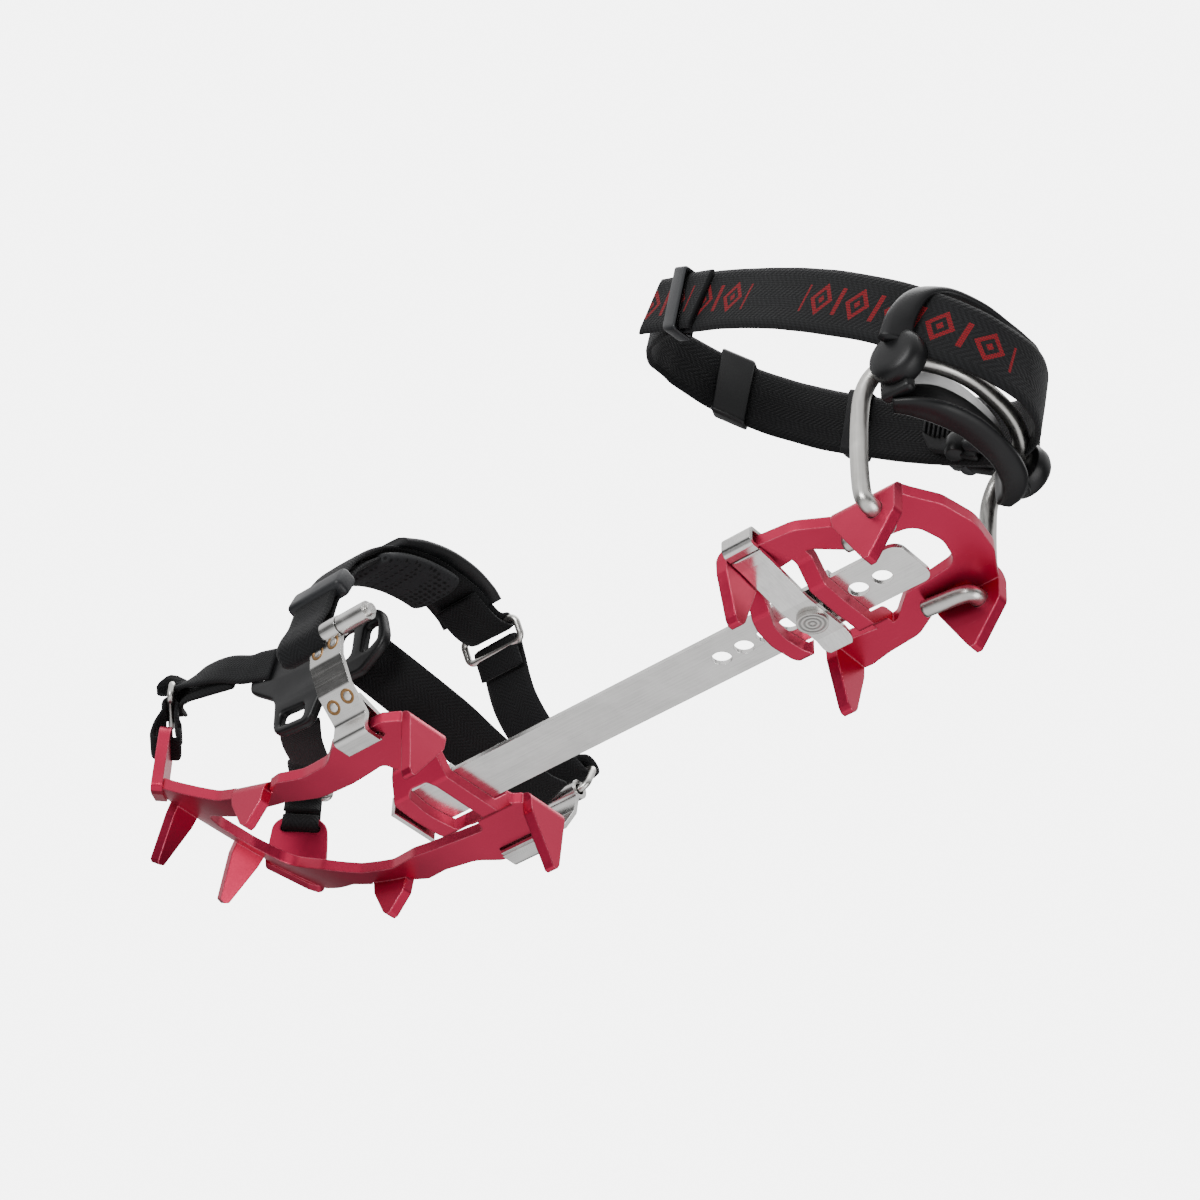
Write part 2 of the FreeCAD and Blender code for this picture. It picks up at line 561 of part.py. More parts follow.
# plastic heel cradle: two clips round the wire and a channel between them
lug = Part.makeCylinder(9.0, 8.6, V(bx + 14.0, -bh - 4.4, bz + 48.6), V(0, 1, 0))
chan = prism([(bx + 12.0, -30.0, 2), (bx + 21.4, -23.2, 7), (bx + 26.6, -10, 14), (bx + 26.6, 10, 14), (bx + 21.4, 23.2, 7), (bx + 12.0, 30.0, 2),
              (bx + 7.2, 26.0, 2), (bx + 14.5, 19.0, 7), (bx + 18.0, 8.5, 12), (bx + 18.0, -8.5, 12), (bx + 14.5, -19.0, 7), (bx + 7.2, -26.0, 2)], V(0, 0, 14.6), "XY", bz + 32.2)
cr = fuse([chan, lug, mirror(lug)])
wire_cut = tube([q[:3] if k in (0, 9) else q for k, q in enumerate(route[2:12])], wr + 0.02, 7.0)
cr = cr.cut(wire_cut)
cs = sorted(cr.Solids, key=lambda s: -s.Volume)
put("heel_cradle", cs[0])

# ankle strap: a long loop, higher in front than behind, tilted forward
ca, sa = math.cos(math.radians(36.4)), math.sin(math.radians(36.4))
E1 = V(-ca, 0, sa)
E3 = V(0.2, 0, 0.98)
E3.normalize()
SO = V(152.4, 0, 60.9)
ww, wt = D["web_wide"], D["web_thick"]


LOOP = [(0, -9, 10), (7.5, -20.5, 14), (21, -28.5, 18), (42, -32.6, 30), (72, -33.8, 60), (102, -32.8, 60), (128, -29.8, 40), (151, -24.2, 26), (168, -15.4, 18), (177.5, -5.5, 12),
        (177.5, 6.0, 12), (169, 17.5, 18), (154, 26.2, 26), (130, 31.6, 40), (102, 33.6, 60), (72, 34.0, 60), (42, 32.6, 30), (21, 28.5, 18), (7.5, 20.5, 14), (0, 9, 10)]


def loop_pts(off):
    """The strap's loop, moved outward by off."""
    n = len(LOOP)
    out = []
    for i in range(n):
        a, b, c = LOOP[i - 1], LOOP[i], LOOP[(i + 1) % n]
        d1 = V(b[0] - a[0], b[1] - a[1], 0)
        d2 = V(c[0] - b[0], c[1] - b[1], 0)
        d1.normalize()
        d2.normalize()
        n1 = V(d1.y, -d1.x, 0)
        n2 = V(d2.y, -d2.x, 0)
        m = n1 + n2
        m.normalize()
        k = off / m.dot(n1)
        out.append((b[0] + m.x * k, b[1] + m.y * k, max(1.0, b[2] + off)))
    return out


YY = V(0, 1, 0)
outer = basis_poly(SO - E3 * (ww / 2), E1, YY, loop_pts(wt), E3 * ww)
innerp = basis_poly(SO - E3 * (ww / 2 + 1), E1, YY, loop_pts(0.0), E3 * (ww + 2))
strap = outer.cut(innerp)
# the webbing's lower edge is pressed in where it lies over the bail wire
whole = strap.Volume
strap = sorted(strap.cut(tube(route, wr + 0.4, 7.0)).Solids, key=lambda q: -q.Volume)[0]
print("strap groove", round(whole - strap.Volume, 1))
put("ankle_strap", one(strap))
cradle_gap = basis_poly(SO - E3 * (ww / 2 + 0.3), E1, YY, loop_pts(wt + 0.3), E3 * (ww + 0.6)).cut(basis_poly(SO - E3 * (ww / 2 + 1), E1, YY, loop_pts(-0.4), E3 * (ww + 2)))
for o in NODES:
    if o.Label == "heel_cradle":
        q = sorted(cs[0].cut(cradle_gap).Solids, key=lambda z: -z.Volume)[0]
        o.Shape = one(q)
        o.Placement = SHIFT


def on_strap(u, v, du, dv, dw, r=1.0, name=None, hollow=None):
    """Block centred at (u, v) in the strap's plane, du long, dv across, dw high."""
    C = SO + E1 * u + YY * v - E3 * (dw / 2.0)
    b = basis_poly(C, E1, YY, [(-du / 2, -dv / 2, r), (du / 2, -dv / 2, r), (du / 2, dv / 2, r), (-du / 2, dv / 2, r)], E3 * dw)
    return b


clear = basis_poly(SO - E3 * (ww / 2 + 0.3), E1, YY, loop_pts(wt + 0.25), E3 * (ww + 0.6)).cut(
    basis_poly(SO - E3 * (ww / 2 + 1), E1, YY, loop_pts(-0.25), E3 * (ww + 2)))
kn = on_strap(137, -29.4, 8.0, 11.0, 27.0, 2.0).cut(clear)
put("strap_keeper", one(sorted(kn.Solids, key=lambda q: -q.Volume)[0]) if len(kn.Solids) > 1 else one(kn))
tail = on_strap(148.5, -29.6, 13.0, 1.8, ww - 1, 0.5).cut(clear).cut(on_strap(137, -29.4, 8.6, 12.0, 28.0, 1.0))
put("strap_tail", one(sorted(tail.Solids, key=lambda q: -q.Volume)[0]))
sl = on_strap(163.5, 22.4, 12.0, 13.0, 27.0, 2.5).cut(clear)
put("strap_slide", one(sorted(sl.Solids, key=lambda q: -q.Volume)[0]))
ke = on_strap(108, 34.4, 11.0, 7.0, 26.0, 1.5).cut(clear)
put("elastic_keeper", one(sorted(ke.Solids, key=lambda q: -q.Volume)[0]))
# cam buckle on the outer side of the strap
bb = on_strap(60.0, 39.5, 27.0, 5.6, 25.0, 1.2)
lev_gap = on_strap(53.9, 42.25, 24.8, 4.3, 15.8, 0.3)
bb = bb.cut(lev_gap).cut(clear)
axis_c = SO + E1 * 60.0 + YY * 40.8
bb = bb.cut(Part.makeCylinder(1.35, 40, axis_c - E3 * 20, E3))
put("buckle_body", one(sorted(bb.Solids, key=lambda q: -q.Volume)[0]))
bl = on_strap(50.6, 42.6, 22.0, 2.6, 14.8, 0.8).cut(Part.makeCylinder(1.35, 40, axis_c - E3 * 20, E3))
eye = Part.makeCylinder(2.35, 14.0, axis_c - E3 * 7.0, E3).cut(Part.makeCylinder(1.35, 40, axis_c - E3 * 20, E3))
relief = Part.makeCylinder(2.75, 17.0, axis_c - E3 * 8.5, E3)
sweep_room = Part.makeCylinder(3.9, 18.6, axis_c - E3 * 9.3, E3).common(on_strap(60.0, 43.2, 16.0, 8.0, 24.0, 0.2))
bb = bb.cut(relief).cut(sweep_room)
NODES[-1].Shape = one(sorted(bb.Solids, key=lambda q: -q.Volume)[0])
NODES[-1].Placement = SHIFT
bl = bl.fuse(eye).cut(Part.makeCylinder(1.35, 40, axis_c - E3 * 20, E3))
put("buckle_lever", one(sorted(bl.Solids, key=lambda q: -q.Volume)[0]))
put("buckle_axle", Part.makeCylinder(1.3, 24.0, axis_c - E3 * 12.0, E3))
print("buckle axis", axis_c, E3)

# raised rim of the cradle that keeps the strap behind it
rim = prism([(-21, bz + 58.4, 2), (-20, bz + 66, 6), (-11, bz + 75, 9), (11, bz + 75, 9), (20, bz + 66, 6), (21, bz + 58.4, 2)], V(3.0, 0, 0), "YZ", bx + 22.0)
rimcut = prism([(-14, bz + 61.5, 3), (-8.5, bz + 69.6, 5), (8.5, bz + 69.6, 5), (14, bz + 61.5, 3)], V(10, 0, 0), "YZ", bx + 19)
rim = rim.cut(cradle_gap)
rim = sorted(rim.Solids, key=lambda q: -q.Volume)[0]
put("cradle_rim", one(rim.cut(rimcut)))

# ------------------------------------------------------- side links
kw, kt2 = D["link_width"], D["link_thick"]
LX = -84.5


def link(sgn):
    blade = [(-57.6, 49.4), (-56.6, 41), (-51.8, 32.5), (-43.4, 25.4), (-43.4, 18.6), (-36.6, 18.6)]
    hookl = [(-36.6, 18.6), (-36.6, 27.0), (-47.4, 30.2)]
    a1 = strip_yz(blade, kt2, LX - kw / 2, LX + kw / 2)
    a2 = strip_yz(hookl, kt2, LX - kw / 2, LX + kw / 2)
    rol = Part.makeCylinder(3.6, kw, V(LX - kw / 2, -58.3, 51.6), V(1, 0, 0))
    b = fuse([a1, a2, rol]).cut(Part.makeCylinder(2.08, 60, V(LX - 30, -58.3, 51.6), V(1, 0, 0)))
    b = one(sorted(b.Solids, key=lambda q: -q.Volume)[0])
    return b if sgn < 0 else mirror(b)


put("near_link", link(-1))
put("far_link", link(1))
rb = doc.addObject("Part::Cylinder", "LockBar")
rb.Radius = 2.0
rb.Height = 36.0
rb.Placement = FreeCAD.Placement(V(LX - 15.0, -58.3, 51.6), FreeCAD.Rotation(V(0, 1, 0), 90))
doc.recompute()
keep(rb, "near_lock_bar")
put("lock_roller", one(Part.makeCylinder(3.3, 12.0, V(LX + kw / 2 + 0.4, -58.3, 51.6), V(1, 0, 0)).cut(Part.makeCylinder(2.06, 60, V(LX - 30, -58.3, 51.6), V(1, 0, 0)))))
rw = D["ring_wire_r"]
put("far_ring", tube([(LX - 10, 58.3, 51.6), (LX + 10, 58.3, 51.6), (LX + 10, 62.3, 62.0), (LX - 10, 62.3, 62.0)], rw, 3.0, closed=True))

# ------------------------------------------------------- toe harness
tw, wth = D["toe_web"], D["web_thick"]
HX = -94.0
ins = [(-57.0, 63.0), (-55.0, 74), (-47.5, 91), (-33, 106), (-12, 114.5), (8, 114), (22, 108.5)]
put("instep_strap", one(strip_yz(ins, wth, HX - tw / 2, HX + tw / 2)))
lock = strip_yz([(-58.6, 58.0), (-58.6, 61.6)], 4.4, HX - tw / 2 - 2, HX + tw / 2 + 6)
pad = strip_yz([(-31.0, 101.6), (-12, 109.4), (9, 108.9)], 5.0, HX - 12.5, HX + 12.5)
put("instep_pad", one(pad))
kp = strip_yz([(-55.6, 71.0), (-51.8, 80.5)], 6.2, HX - tw / 2 - 2.4, HX + tw / 2 + 2.4).cut(strip_yz(ins, wth + 0.5, HX - tw / 2 - 0.3, HX + tw / 2 + 0.3))
put("instep_keeper", one(sorted(kp.Solids, key=lambda q: -q.Volume)[0]))
put("slide_ring", tube([(HX - 12.5, 25.4, 110.5), (HX + 12.5, 25.4, 110.5), (HX + 12.5, 29.9, 103.0), (HX - 12.5, 29.9, 103.0)], rw, 2.6, closed=True))
fs = [(32.2, 100.0), (38.5, 84), (50.0, 71)]
put("far_strap", one(strip_yz(fs, wth, HX - tw / 2, HX + tw / 2)))
dg = [(-25.5, 62.0), (-4, 48.5), (18, 42.5), (44, 44.0)]
put("cross_strap", one(strip_yz(dg, wth, LX - tw / 2, LX + tw / 2)))
hub = prism([(-152, 76, 5), (-151, 91, 6), (-137, 90, 5), (-126, 82, 5), (-113, 88, 6), (-88, 82, 9), (-84, 66, 8), (-96, 58, 6), (-114, 60, 8), (-119, 48, 5), (-137, 50, 6), (-138, 66, 8)], V(0, 3.6, 0), "XZ", -32.0)
for q in ([(-148.5, 79.5, 1.5), (-147.5, 86.5, 1.5), (-142.8, 86.2, 1.5), (-143.5, 77.8, 1.5)],
          [(-134.0, 53.0, 1.5), (-133.6, 58.5, 1.5), (-122.2, 57.2, 1.5), (-122.4, 51.8, 1.5)],
          [(-96.0, 64.5, 2), (-95, 77, 2), (-89.5, 76.5, 2), (-89.2, 68.5, 2)],
          [(-110, 68, 3), (-108, 80.5, 3), (-101, 79.5, 3), (-101.5, 66.5, 3)]):
    hub = hub.cut(prism(q, V(0, 10, 0), "XZ", -36))
put("harness_hub", one(hub))


def web(pa, pb, width, thick, wdir):
    a, b = V(*pa), V(*pb)
    d = b - a
    L = d.Length
    d.normalize()
    w = V(*wdir)
    w = w - d * w.dot(d)
    w.normalize()
    n = d.cross(w)
    c = a - w * (width / 2) - n * (thick / 2)
    m = FreeCAD.Matrix()
    m.A11, m.A21, m.A31 = d.x, d.y, d.z
    m.A12, m.A22, m.A32 = w.x, w.y, w.z
    m.A13, m.A23, m.A33 = n.x, n.y, n.z
    m.A14, m.A24, m.A34 = c.x, c.y, c.z
    bx0 = Part.makeBox(L, width, thick)
    return bx0.transformGeometry(m)


put("near_front_strap", web((-153.5, -32.0, 85.0), (-184.0, -35.6, 95.0), 14.0, 2.4, (0.3, 0, 0.95)))
pc = V(-191.0, 31.75, toe_z(-191.0) - 2.0)
pal = V(16, 15.5, 0)
pal.normalize()
pn = V(-pal.y, pal.x, 0)


def post_loop():
    """Webbing folded through the post's slot: two layers above the post."""
    wq = 13.0
    a = pc + pn * (T + 1.4) - pal * (wq / 2) + V(0, 0, 21.4)
    lay = []
    m1 = web((pc.x + pn.x * (T + 1.6), pc.y + pn.y * (T + 1.6), pc.z + 20.0), (pc.x + pn.x * (T + 1.6), pc.y + pn.y * (T + 1.6), pc.z + 35.8), wq, 1.8, (pal.x, pal.y, 0))
    m2 = web((pc.x + pn.x * (-1.6), pc.y + pn.y * (-1.6), pc.z + 20.0), (pc.x + pn.x * (-1.6), pc.y + pn.y * (-1.6), pc.z + 35.8), wq, 1.8, (pal.x, pal.y, 0))
    m3 = web((pc.x + pn.x * (-2.4), pc.y + pn.y * (-2.4), pc.z + 22.4), (pc.x + pn.x * (T + 2.4), pc.y + pn.y * (T + 2.4), pc.z + 22.4), wq, 1.8, (pal.x, pal.y, 0))
    m4 = web((pc.x + pn.x * (-2.4), pc.y + pn.y * (-2.4), pc.z + 34.4), (pc.x + pn.x * (T + 2.4), pc.y + pn.y * (T + 2.4), pc.z + 34.4), wq, 1.8, (pal.x, pal.y, 0))
    return fuse([m1, m2, m3, m4])


lp = post_loop()
put("far_post_loop", one(lp))
put("near_post_loop", one(mirror(lp)))
rc = pc + pn * (T / 2) + V(0, 0, 39.4)
ring_pts = [rc - pal * 9.5 + V(0, 0, -1.9), rc + pal * 9.5 + V(0, 0, -1.9), rc + pal * 9.5 + V(0, 0, 5.0), rc - pal * 9.5 + V(0, 0, 5.0)]
rg = tube([(q.x, q.y, q.z) for q in ring_pts], 1.1, 2.2, closed=True)
put("far_front_ring", rg)
put("near_front_ring", mirror(rg))
put("far_front_strap", web((rc.x + 3.0, rc.y - 4.5, rc.z + 1.0), (-133.0, -21.5, 57.5), 14.0, 2.2, (0.72, 0.69, 0)))

# ------------------------------------------------------------ check, place
doc.recompute()
bb = None
for o in NODES:
    b = o.Shape.optimalBoundingBox(False, False)
    if bb is None:
        bb = FreeCAD.BoundBox(b)
    else:
        bb.add(b)
print("box", bb)
bad = []
for o in doc.Objects:
    st = list(o.State)
    if "Invalid" in st or "Error" in st:
        bad.append((o.Name, st))
for o in NODES:
    s = o.Shape
    if s.isNull() or not s.isValid() or len(s.Solids) < 1:
        bad.append((o.Label, "shape", s.isNull() or s.isValid(), len(s.Solids)))
    elif len(s.Solids) > 1 and o.Label not in ("latch_rivets",):
        bad.append((o.Label, "solids", len(s.Solids)))
print("nodes", len(NODES), "bad", bad)
if [q for q in bad if q[1] != "solids"]:
    raise RuntimeError("failed objects: %s" % bad)
for o in NODES:
    o.Shape.exportStep("parts/%s.step" % o.Label)
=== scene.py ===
import bpy
import bmesh
import math
from mathutils import Vector, Matrix, noise


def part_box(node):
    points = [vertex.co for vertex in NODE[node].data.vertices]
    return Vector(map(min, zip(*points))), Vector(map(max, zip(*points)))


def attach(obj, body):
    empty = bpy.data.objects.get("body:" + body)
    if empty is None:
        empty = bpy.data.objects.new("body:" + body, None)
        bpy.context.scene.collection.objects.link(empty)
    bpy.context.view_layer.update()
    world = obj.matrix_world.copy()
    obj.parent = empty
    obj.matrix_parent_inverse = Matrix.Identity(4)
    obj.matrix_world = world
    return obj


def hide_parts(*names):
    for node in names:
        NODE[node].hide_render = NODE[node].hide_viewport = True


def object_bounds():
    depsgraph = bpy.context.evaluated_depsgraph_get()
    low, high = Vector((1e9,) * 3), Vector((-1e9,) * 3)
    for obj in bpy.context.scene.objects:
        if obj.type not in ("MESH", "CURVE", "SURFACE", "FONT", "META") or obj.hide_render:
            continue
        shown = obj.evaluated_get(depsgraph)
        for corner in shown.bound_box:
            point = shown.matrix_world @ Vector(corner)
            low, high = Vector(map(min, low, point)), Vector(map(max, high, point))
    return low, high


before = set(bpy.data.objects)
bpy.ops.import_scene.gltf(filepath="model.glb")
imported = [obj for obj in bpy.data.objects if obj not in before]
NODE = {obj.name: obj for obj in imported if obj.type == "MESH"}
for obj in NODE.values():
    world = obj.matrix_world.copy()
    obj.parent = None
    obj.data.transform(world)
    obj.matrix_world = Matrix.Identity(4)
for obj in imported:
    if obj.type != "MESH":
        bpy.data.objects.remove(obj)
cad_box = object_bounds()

# row origin in the drawing frame that part.py lays shapes out in, mm
OX = -212.23713 - cad_box[0][0] * 1000.0
OY = -61.9 - cad_box[0][1] * 1000.0
TOE, HEEL, LATCH, BAIL, CAM = "toe_assembly", "heel_assembly", "bar_latch", "bail_and_strap", "buckle_cam"


def P(x, y, z):
    return Vector(((x - OX) / 1000.0, (y - OY) / 1000.0, z / 1000.0))


# ------------------------------------------------------------ materials
class Nodes:
    def __init__(self, name):
        self.m = bpy.data.materials.new(name)
        self.m.use_nodes = True
        self.t = self.m.node_tree
        self.t.nodes.clear()
        self.out = self.t.nodes.new("ShaderNodeOutputMaterial")
        self.b = self.t.nodes.new("ShaderNodeBsdfPrincipled")
        self.link(self.b.outputs[0], self.out.inputs[0])

    def n(self, kind):
        return self.t.nodes.new(kind)

    def link(self, a, b):
        self.t.links.new(a, b)

    def put(self, sock, v):
        if isinstance(v, bpy.types.NodeSocket):
            self.link(v, sock)
        else:
            sock.default_value = v

    def coords(self, kind="Object"):
        return self.n("ShaderNodeTexCoord").outputs[kind]

    def mapped(self, vec, scale=(1, 1, 1), rot=(0, 0, 0), loc=(0, 0, 0)):
        q = self.n("ShaderNodeMapping")
        self.link(vec, q.inputs[0])
        q.inputs["Scale"].default_value = scale
        q.inputs["Rotation"].default_value = rot
        q.inputs["Location"].default_value = loc
        return q.outputs[0]

    def noise(self, vec, scale, detail=3, rough=0.55, dist=0.0):
        q = self.n("ShaderNodeTexNoise")
        self.link(vec, q.inputs["Vector"])
        q.inputs["Scale"].default_value = scale
        q.inputs["Detail"].default_value = detail
        q.inputs["Roughness"].default_value = rough
        q.inputs["Distortion"].default_value = dist
        return q.outputs["Fac"]

    def math(self, op, a, b=None, c=None):
        q = self.n("ShaderNodeMath")
        q.operation = op
        for i, v in enumerate((a, b, c)):
            if v is not None:
                self.put(q.inputs[i], v)
        return q.outputs[0]

    def rng(self, v, a, b, c, d):
        q = self.n("ShaderNodeMapRange")
        self.put(q.inputs[0], v)
        for i, k in enumerate((a, b, c, d)):
            q.inputs[i + 1].default_value = k
        return q.outputs[0]

    def mix(self, f, a, b):
        q = self.n("ShaderNodeMix")
        q.data_type = "RGBA"
        self.put(q.inputs[0], f)
        for s, v in ((q.inputs[6], a), (q.inputs[7], b)):
            if isinstance(v, bpy.types.NodeSocket):
                self.link(v, s)
            else:
                s.default_value = (v[0], v[1], v[2], 1.0)
        return q.outputs[2]

    def bump(self, height, strength=0.3, dist=0.0002, normal=None):
        q = self.n("ShaderNodeBump")
        self.link(height, q.inputs["Height"])
        q.inputs["Strength"].default_value = strength
        q.inputs["Distance"].default_value = dist
        if normal is not None:
            self.link(normal, q.inputs["Normal"])
        return q.outputs[0]

    def sep(self, vec):
        q = self.n("ShaderNodeSeparateXYZ")
        self.link(vec, q.inputs[0])
        return q.outputs

    def edge(self, radius, lo=0.0, hi=0.5):
        """0 on flats, 1 on outer edges."""
        bv = self.n("ShaderNodeBevel")
        bv.samples = 4
        bv.inputs["Radius"].default_value = radius
        g = self.n("ShaderNodeNewGeometry")
        d = self.n("ShaderNodeVectorMath")
        d.operation = "DOT_PRODUCT"
        self.link(bv.outputs[0], d.inputs[0])
        self.link(g.outputs["Normal"], d.inputs[1])
        return self.rng(d.outputs["Value"], 1.0 - lo, 1.0 - hi, 0.0, 1.0), bv.outputs[0]

    def set(self, **kw):
        for k, v in kw.items():
            self.put(self.b.inputs[k.replace("_", " ")], v if not isinstance(v, tuple) else (v[0], v[1], v[2], 1.0))


def red_anodised():
    k = Nodes("red_anodised_mat")
    c = k.coords()
    big = k.noise(c, 45, 3)
    fine = k.noise(c, 1500, 2)
    mark = k.noise(k.mapped(c, (160, 900, 900)), 1.0, 4, 0.7)
    e, bn = k.edge(0.0007, 0.01, 0.30)
    base = k.mix(big, (0.41, 0.013, 0.050), (0.53, 0.026, 0.078))
    base = k.mix(k.rng(mark, 0.62, 0.82, 0.0, 0.30), base, (0.66, 0.08, 0.15))
    # edges painted lighter pink, broken up by noise: a painted highlight along the cut edges
    col = k.mix(k.math("MULTIPLY", e, k.rng(k.noise(c, 420, 3), 0.35, 0.62, 0.35, 0.9)), base, (0.80, 0.22, 0.30))
    k.set(Base_Color=col, Metallic=0.86)
    k.put(k.b.inputs["Roughness"], k.rng(k.math("ADD", k.math("MULTIPLY", big, 0.6), k.math("MULTIPLY", fine, 0.4)), 0.3, 0.7, 0.27, 0.44))
    h = k.math("ADD", k.math("MULTIPLY", fine, 0.5), k.math("MULTIPLY", mark, 0.6))
    k.put(k.b.inputs["Normal"], k.bump(h, 0.18, 0.00012, bn))
    return k.m


def steel(name="steel_mat", tint=(0.74, 0.73, 0.71), along="X", low=0.16, high=0.34, blotch=0.35):
    k = Nodes(name)
    c = k.coords()
    sc = {"X": (30, 1500, 1500), "Y": (1500, 30, 1500), "Z": (1500, 1500, 30)}[along]
    lines = k.noise(k.mapped(c, sc), 1.0, 3, 0.6)
    big = k.noise(c, 90, 4, 0.6, 0.4)
    speck = k.noise(c, 2600, 2)
    e, bn = k.edge(0.0003, 0.01, 0.3)
    dark = tuple(v * (1.0 - blotch) for v in tint)
    col = k.mix(k.rng(big, 0.3, 0.72, 0.0, 1.0), dark, tint)
    col = k.mix(k.rng(lines, 0.35, 0.65, 0.0, 0.35), col, tuple(min(1.0, v * 1.18) for v in tint))
    col = k.mix(k.math("MULTIPLY", e, 0.6), col, (0.93, 0.93, 0.93))
    k.set(Base_Color=col, Metallic=1.0)
    k.put(k.b.inputs["Roughness"], k.rng(k.math("ADD", k.math("MULTIPLY", lines, 0.5), k.math("MULTIPLY", big, 0.5)), 0.3, 0.7, low, high))
    k.put(k.b.inputs["Normal"], k.bump(k.math("ADD", lines, k.math("MULTIPLY", speck, 0.5)), 0.12, 0.00008, bn))
    return k.m


def webbing(name="webbing_mat", twill=0.0016, marks=None, col=(0.0016, 0.0017, 0.0020), lite=(0.0115, 0.0120, 0.0132), rib=0.00085):
    """Woven nylon.  UV: u metres along, v metres across; the inner face has v + 1."""
    k = Nodes(name)
    uv = k.coords("UV")
    s = k.sep(uv)
    u = s[0]
    v = s[1]
    w = k.noise(k.coords(), 500, 3)
    uu = k.math("ADD", u, k.math("MULTIPLY", k.math("SUBTRACT", w, 0.5), 0.0004))
    # zigzag of twill lines across the band
    vz = k.math("PINGPONG", v, 0.004)
    a = k.math("SINE", k.math("MULTIPLY", k.math("ADD", uu, vz), 2 * math.pi / twill))
    b = k.math("SINE", k.math("MULTIPLY", v, 2 * math.pi / rib))
    cross = k.math("SINE", k.math("MULTIPLY", uu, 2 * math.pi / 0.00062))
    h = k.math("ADD", k.math("MULTIPLY", a, 0.55), k.math("ADD", k.math("MULTIPLY", b, 0.28), k.math("MULTIPLY", cross, 0.22)))
    hn = k.rng(h, -1.0, 1.0, 0.0, 1.0)
    big = k.noise(k.coords(), 60, 3)
    base = k.mix(k.math("MULTIPLY", hn, k.rng(big, 0.3, 0.7, 0.6, 1.0)), col, lite)
    if marks is not None:
        red = None
        for (u0, u1, period) in marks:
            inside = k.math("MULTIPLY", k.math("GREATER_THAN", u, u0), k.math("LESS_THAN", u, u1))
            ph = k.math("SUBTRACT", k.math("FRACT", k.math("DIVIDE", k.math("SUBTRACT", u, u0), period)), 0.5)
            du = k.math("DIVIDE", k.math("ABSOLUTE", k.math("MULTIPLY", ph, period)), 0.0050)
            dv = k.math("DIVIDE", k.math("ABSOLUTE", v), 0.0058)
            d = k.math("ADD", du, dv)
            ring = k.math("MULTIPLY", k.math("LESS_THAN", d, 1.0), k.math("GREATER_THAN", d, 0.62))
            dot = k.math("LESS_THAN", d, 0.26)
            # short bars between the diamonds
            q = k.math("SUBTRACT", 0.5, k.math("ABSOLUTE", ph))
            bar = k.math("MULTIPLY", k.math("LESS_THAN", k.math("MULTIPLY", q, period), 0.0009), k.math("LESS_THAN", k.math("ABSOLUTE", v), 0.0048))
            r = k.math("MULTIPLY", inside, k.math("MAXIMUM", bar, k.math("MAXIMUM", ring, dot)))
            red = r if red is None else k.math("MAXIMUM", red, r)
        thread = k.rng(k.math("ADD", b, cross), -1.6, 1.2, 0.25, 1.0)
        base = k.mix(k.math("MULTIPLY", red, thread), base, (0.22, 0.005, 0.010))
    k.set(Base_Color=base, Roughness=0.78)
    k.b.inputs["Sheen Weight"].default_value = 0.05
    k.b.inputs["Sheen Roughness"].default_value = 0.45
    k.b.inputs["Specular IOR Level"].default_value = 0.18
    k.put(k.b.inputs["Normal"], k.bump(h, 0.55, 0.00018))
    return k.m


def plastic(name="plastic_mat", a=(0.0022, 0.0023, 0.0026), b=(0.0070, 0.0072, 0.0080), r0=0.32, r1=0.5, grain=2200, depth=0.12):
    k = Nodes(name)
    c = k.coords()
    big = k.noise(c, 70, 3)
    fine = k.noise(c, grain, 3)
    e, bn = k.edge(0.0006, 0.02, 0.4)
    col = k.mix(big, a, b)
    col = k.mix(k.math("MULTIPLY", e, k.rng(k.noise(c, 600, 3), 0.4, 0.7, 0.1, 0.6)), col, (0.030, 0.030, 0.032))
    k.set(Base_Color=col)
    k.put(k.b.inputs["Roughness"], k.rng(big, 0.3, 0.7, r0, r1))
    k.b.inputs["Specular IOR Level"].default_value = 0.30
    k.put(k.b.inputs["Normal"], k.bump(fine, depth, 0.0001, bn))
    return k.m


def pin_metal():
    """Turned head: plain concentric rings about the pin's own axis."""
    k = Nodes("pin_mat")
    c = k.coords()
    lo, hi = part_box("latch_pin")
    cx, cy = (lo[0] + hi[0]) / 2, (lo[1] + hi[1]) / 2
    m = k.sep(k.mapped(c, (1, 1, 1), (0, 0, 0), (-cx, -cy, 0)))
    r = k.math("SQRT", k.math("ADD", k.math("MULTIPLY", m[0], m[0]), k.math("MULTIPLY", m[1], m[1])))
    ring = k.math("SINE", k.math("MULTIPLY", r, 2 * math.pi / 0.0014))
    fine = k.math("SINE", k.math("MULTIPLY", r, 2 * math.pi / 0.0003))
    big = k.noise(c, 300, 3)
    col = k.mix(k.rng(ring, -1, 1, 0, 1), (0.30, 0.29, 0.28), (0.68, 0.66, 0.63))
    k.set(Base_Color=col, Metallic=1.0)
    k.put(k.b.inputs["Roughness"], k.rng(big, 0.3, 0.7, 0.24, 0.42))
    k.put(k.b.inputs["Normal"], k.bump(k.math("ADD", ring, k.math("MULTIPLY", fine, 0.2)), 0.5, 0.00012))
    return k.m


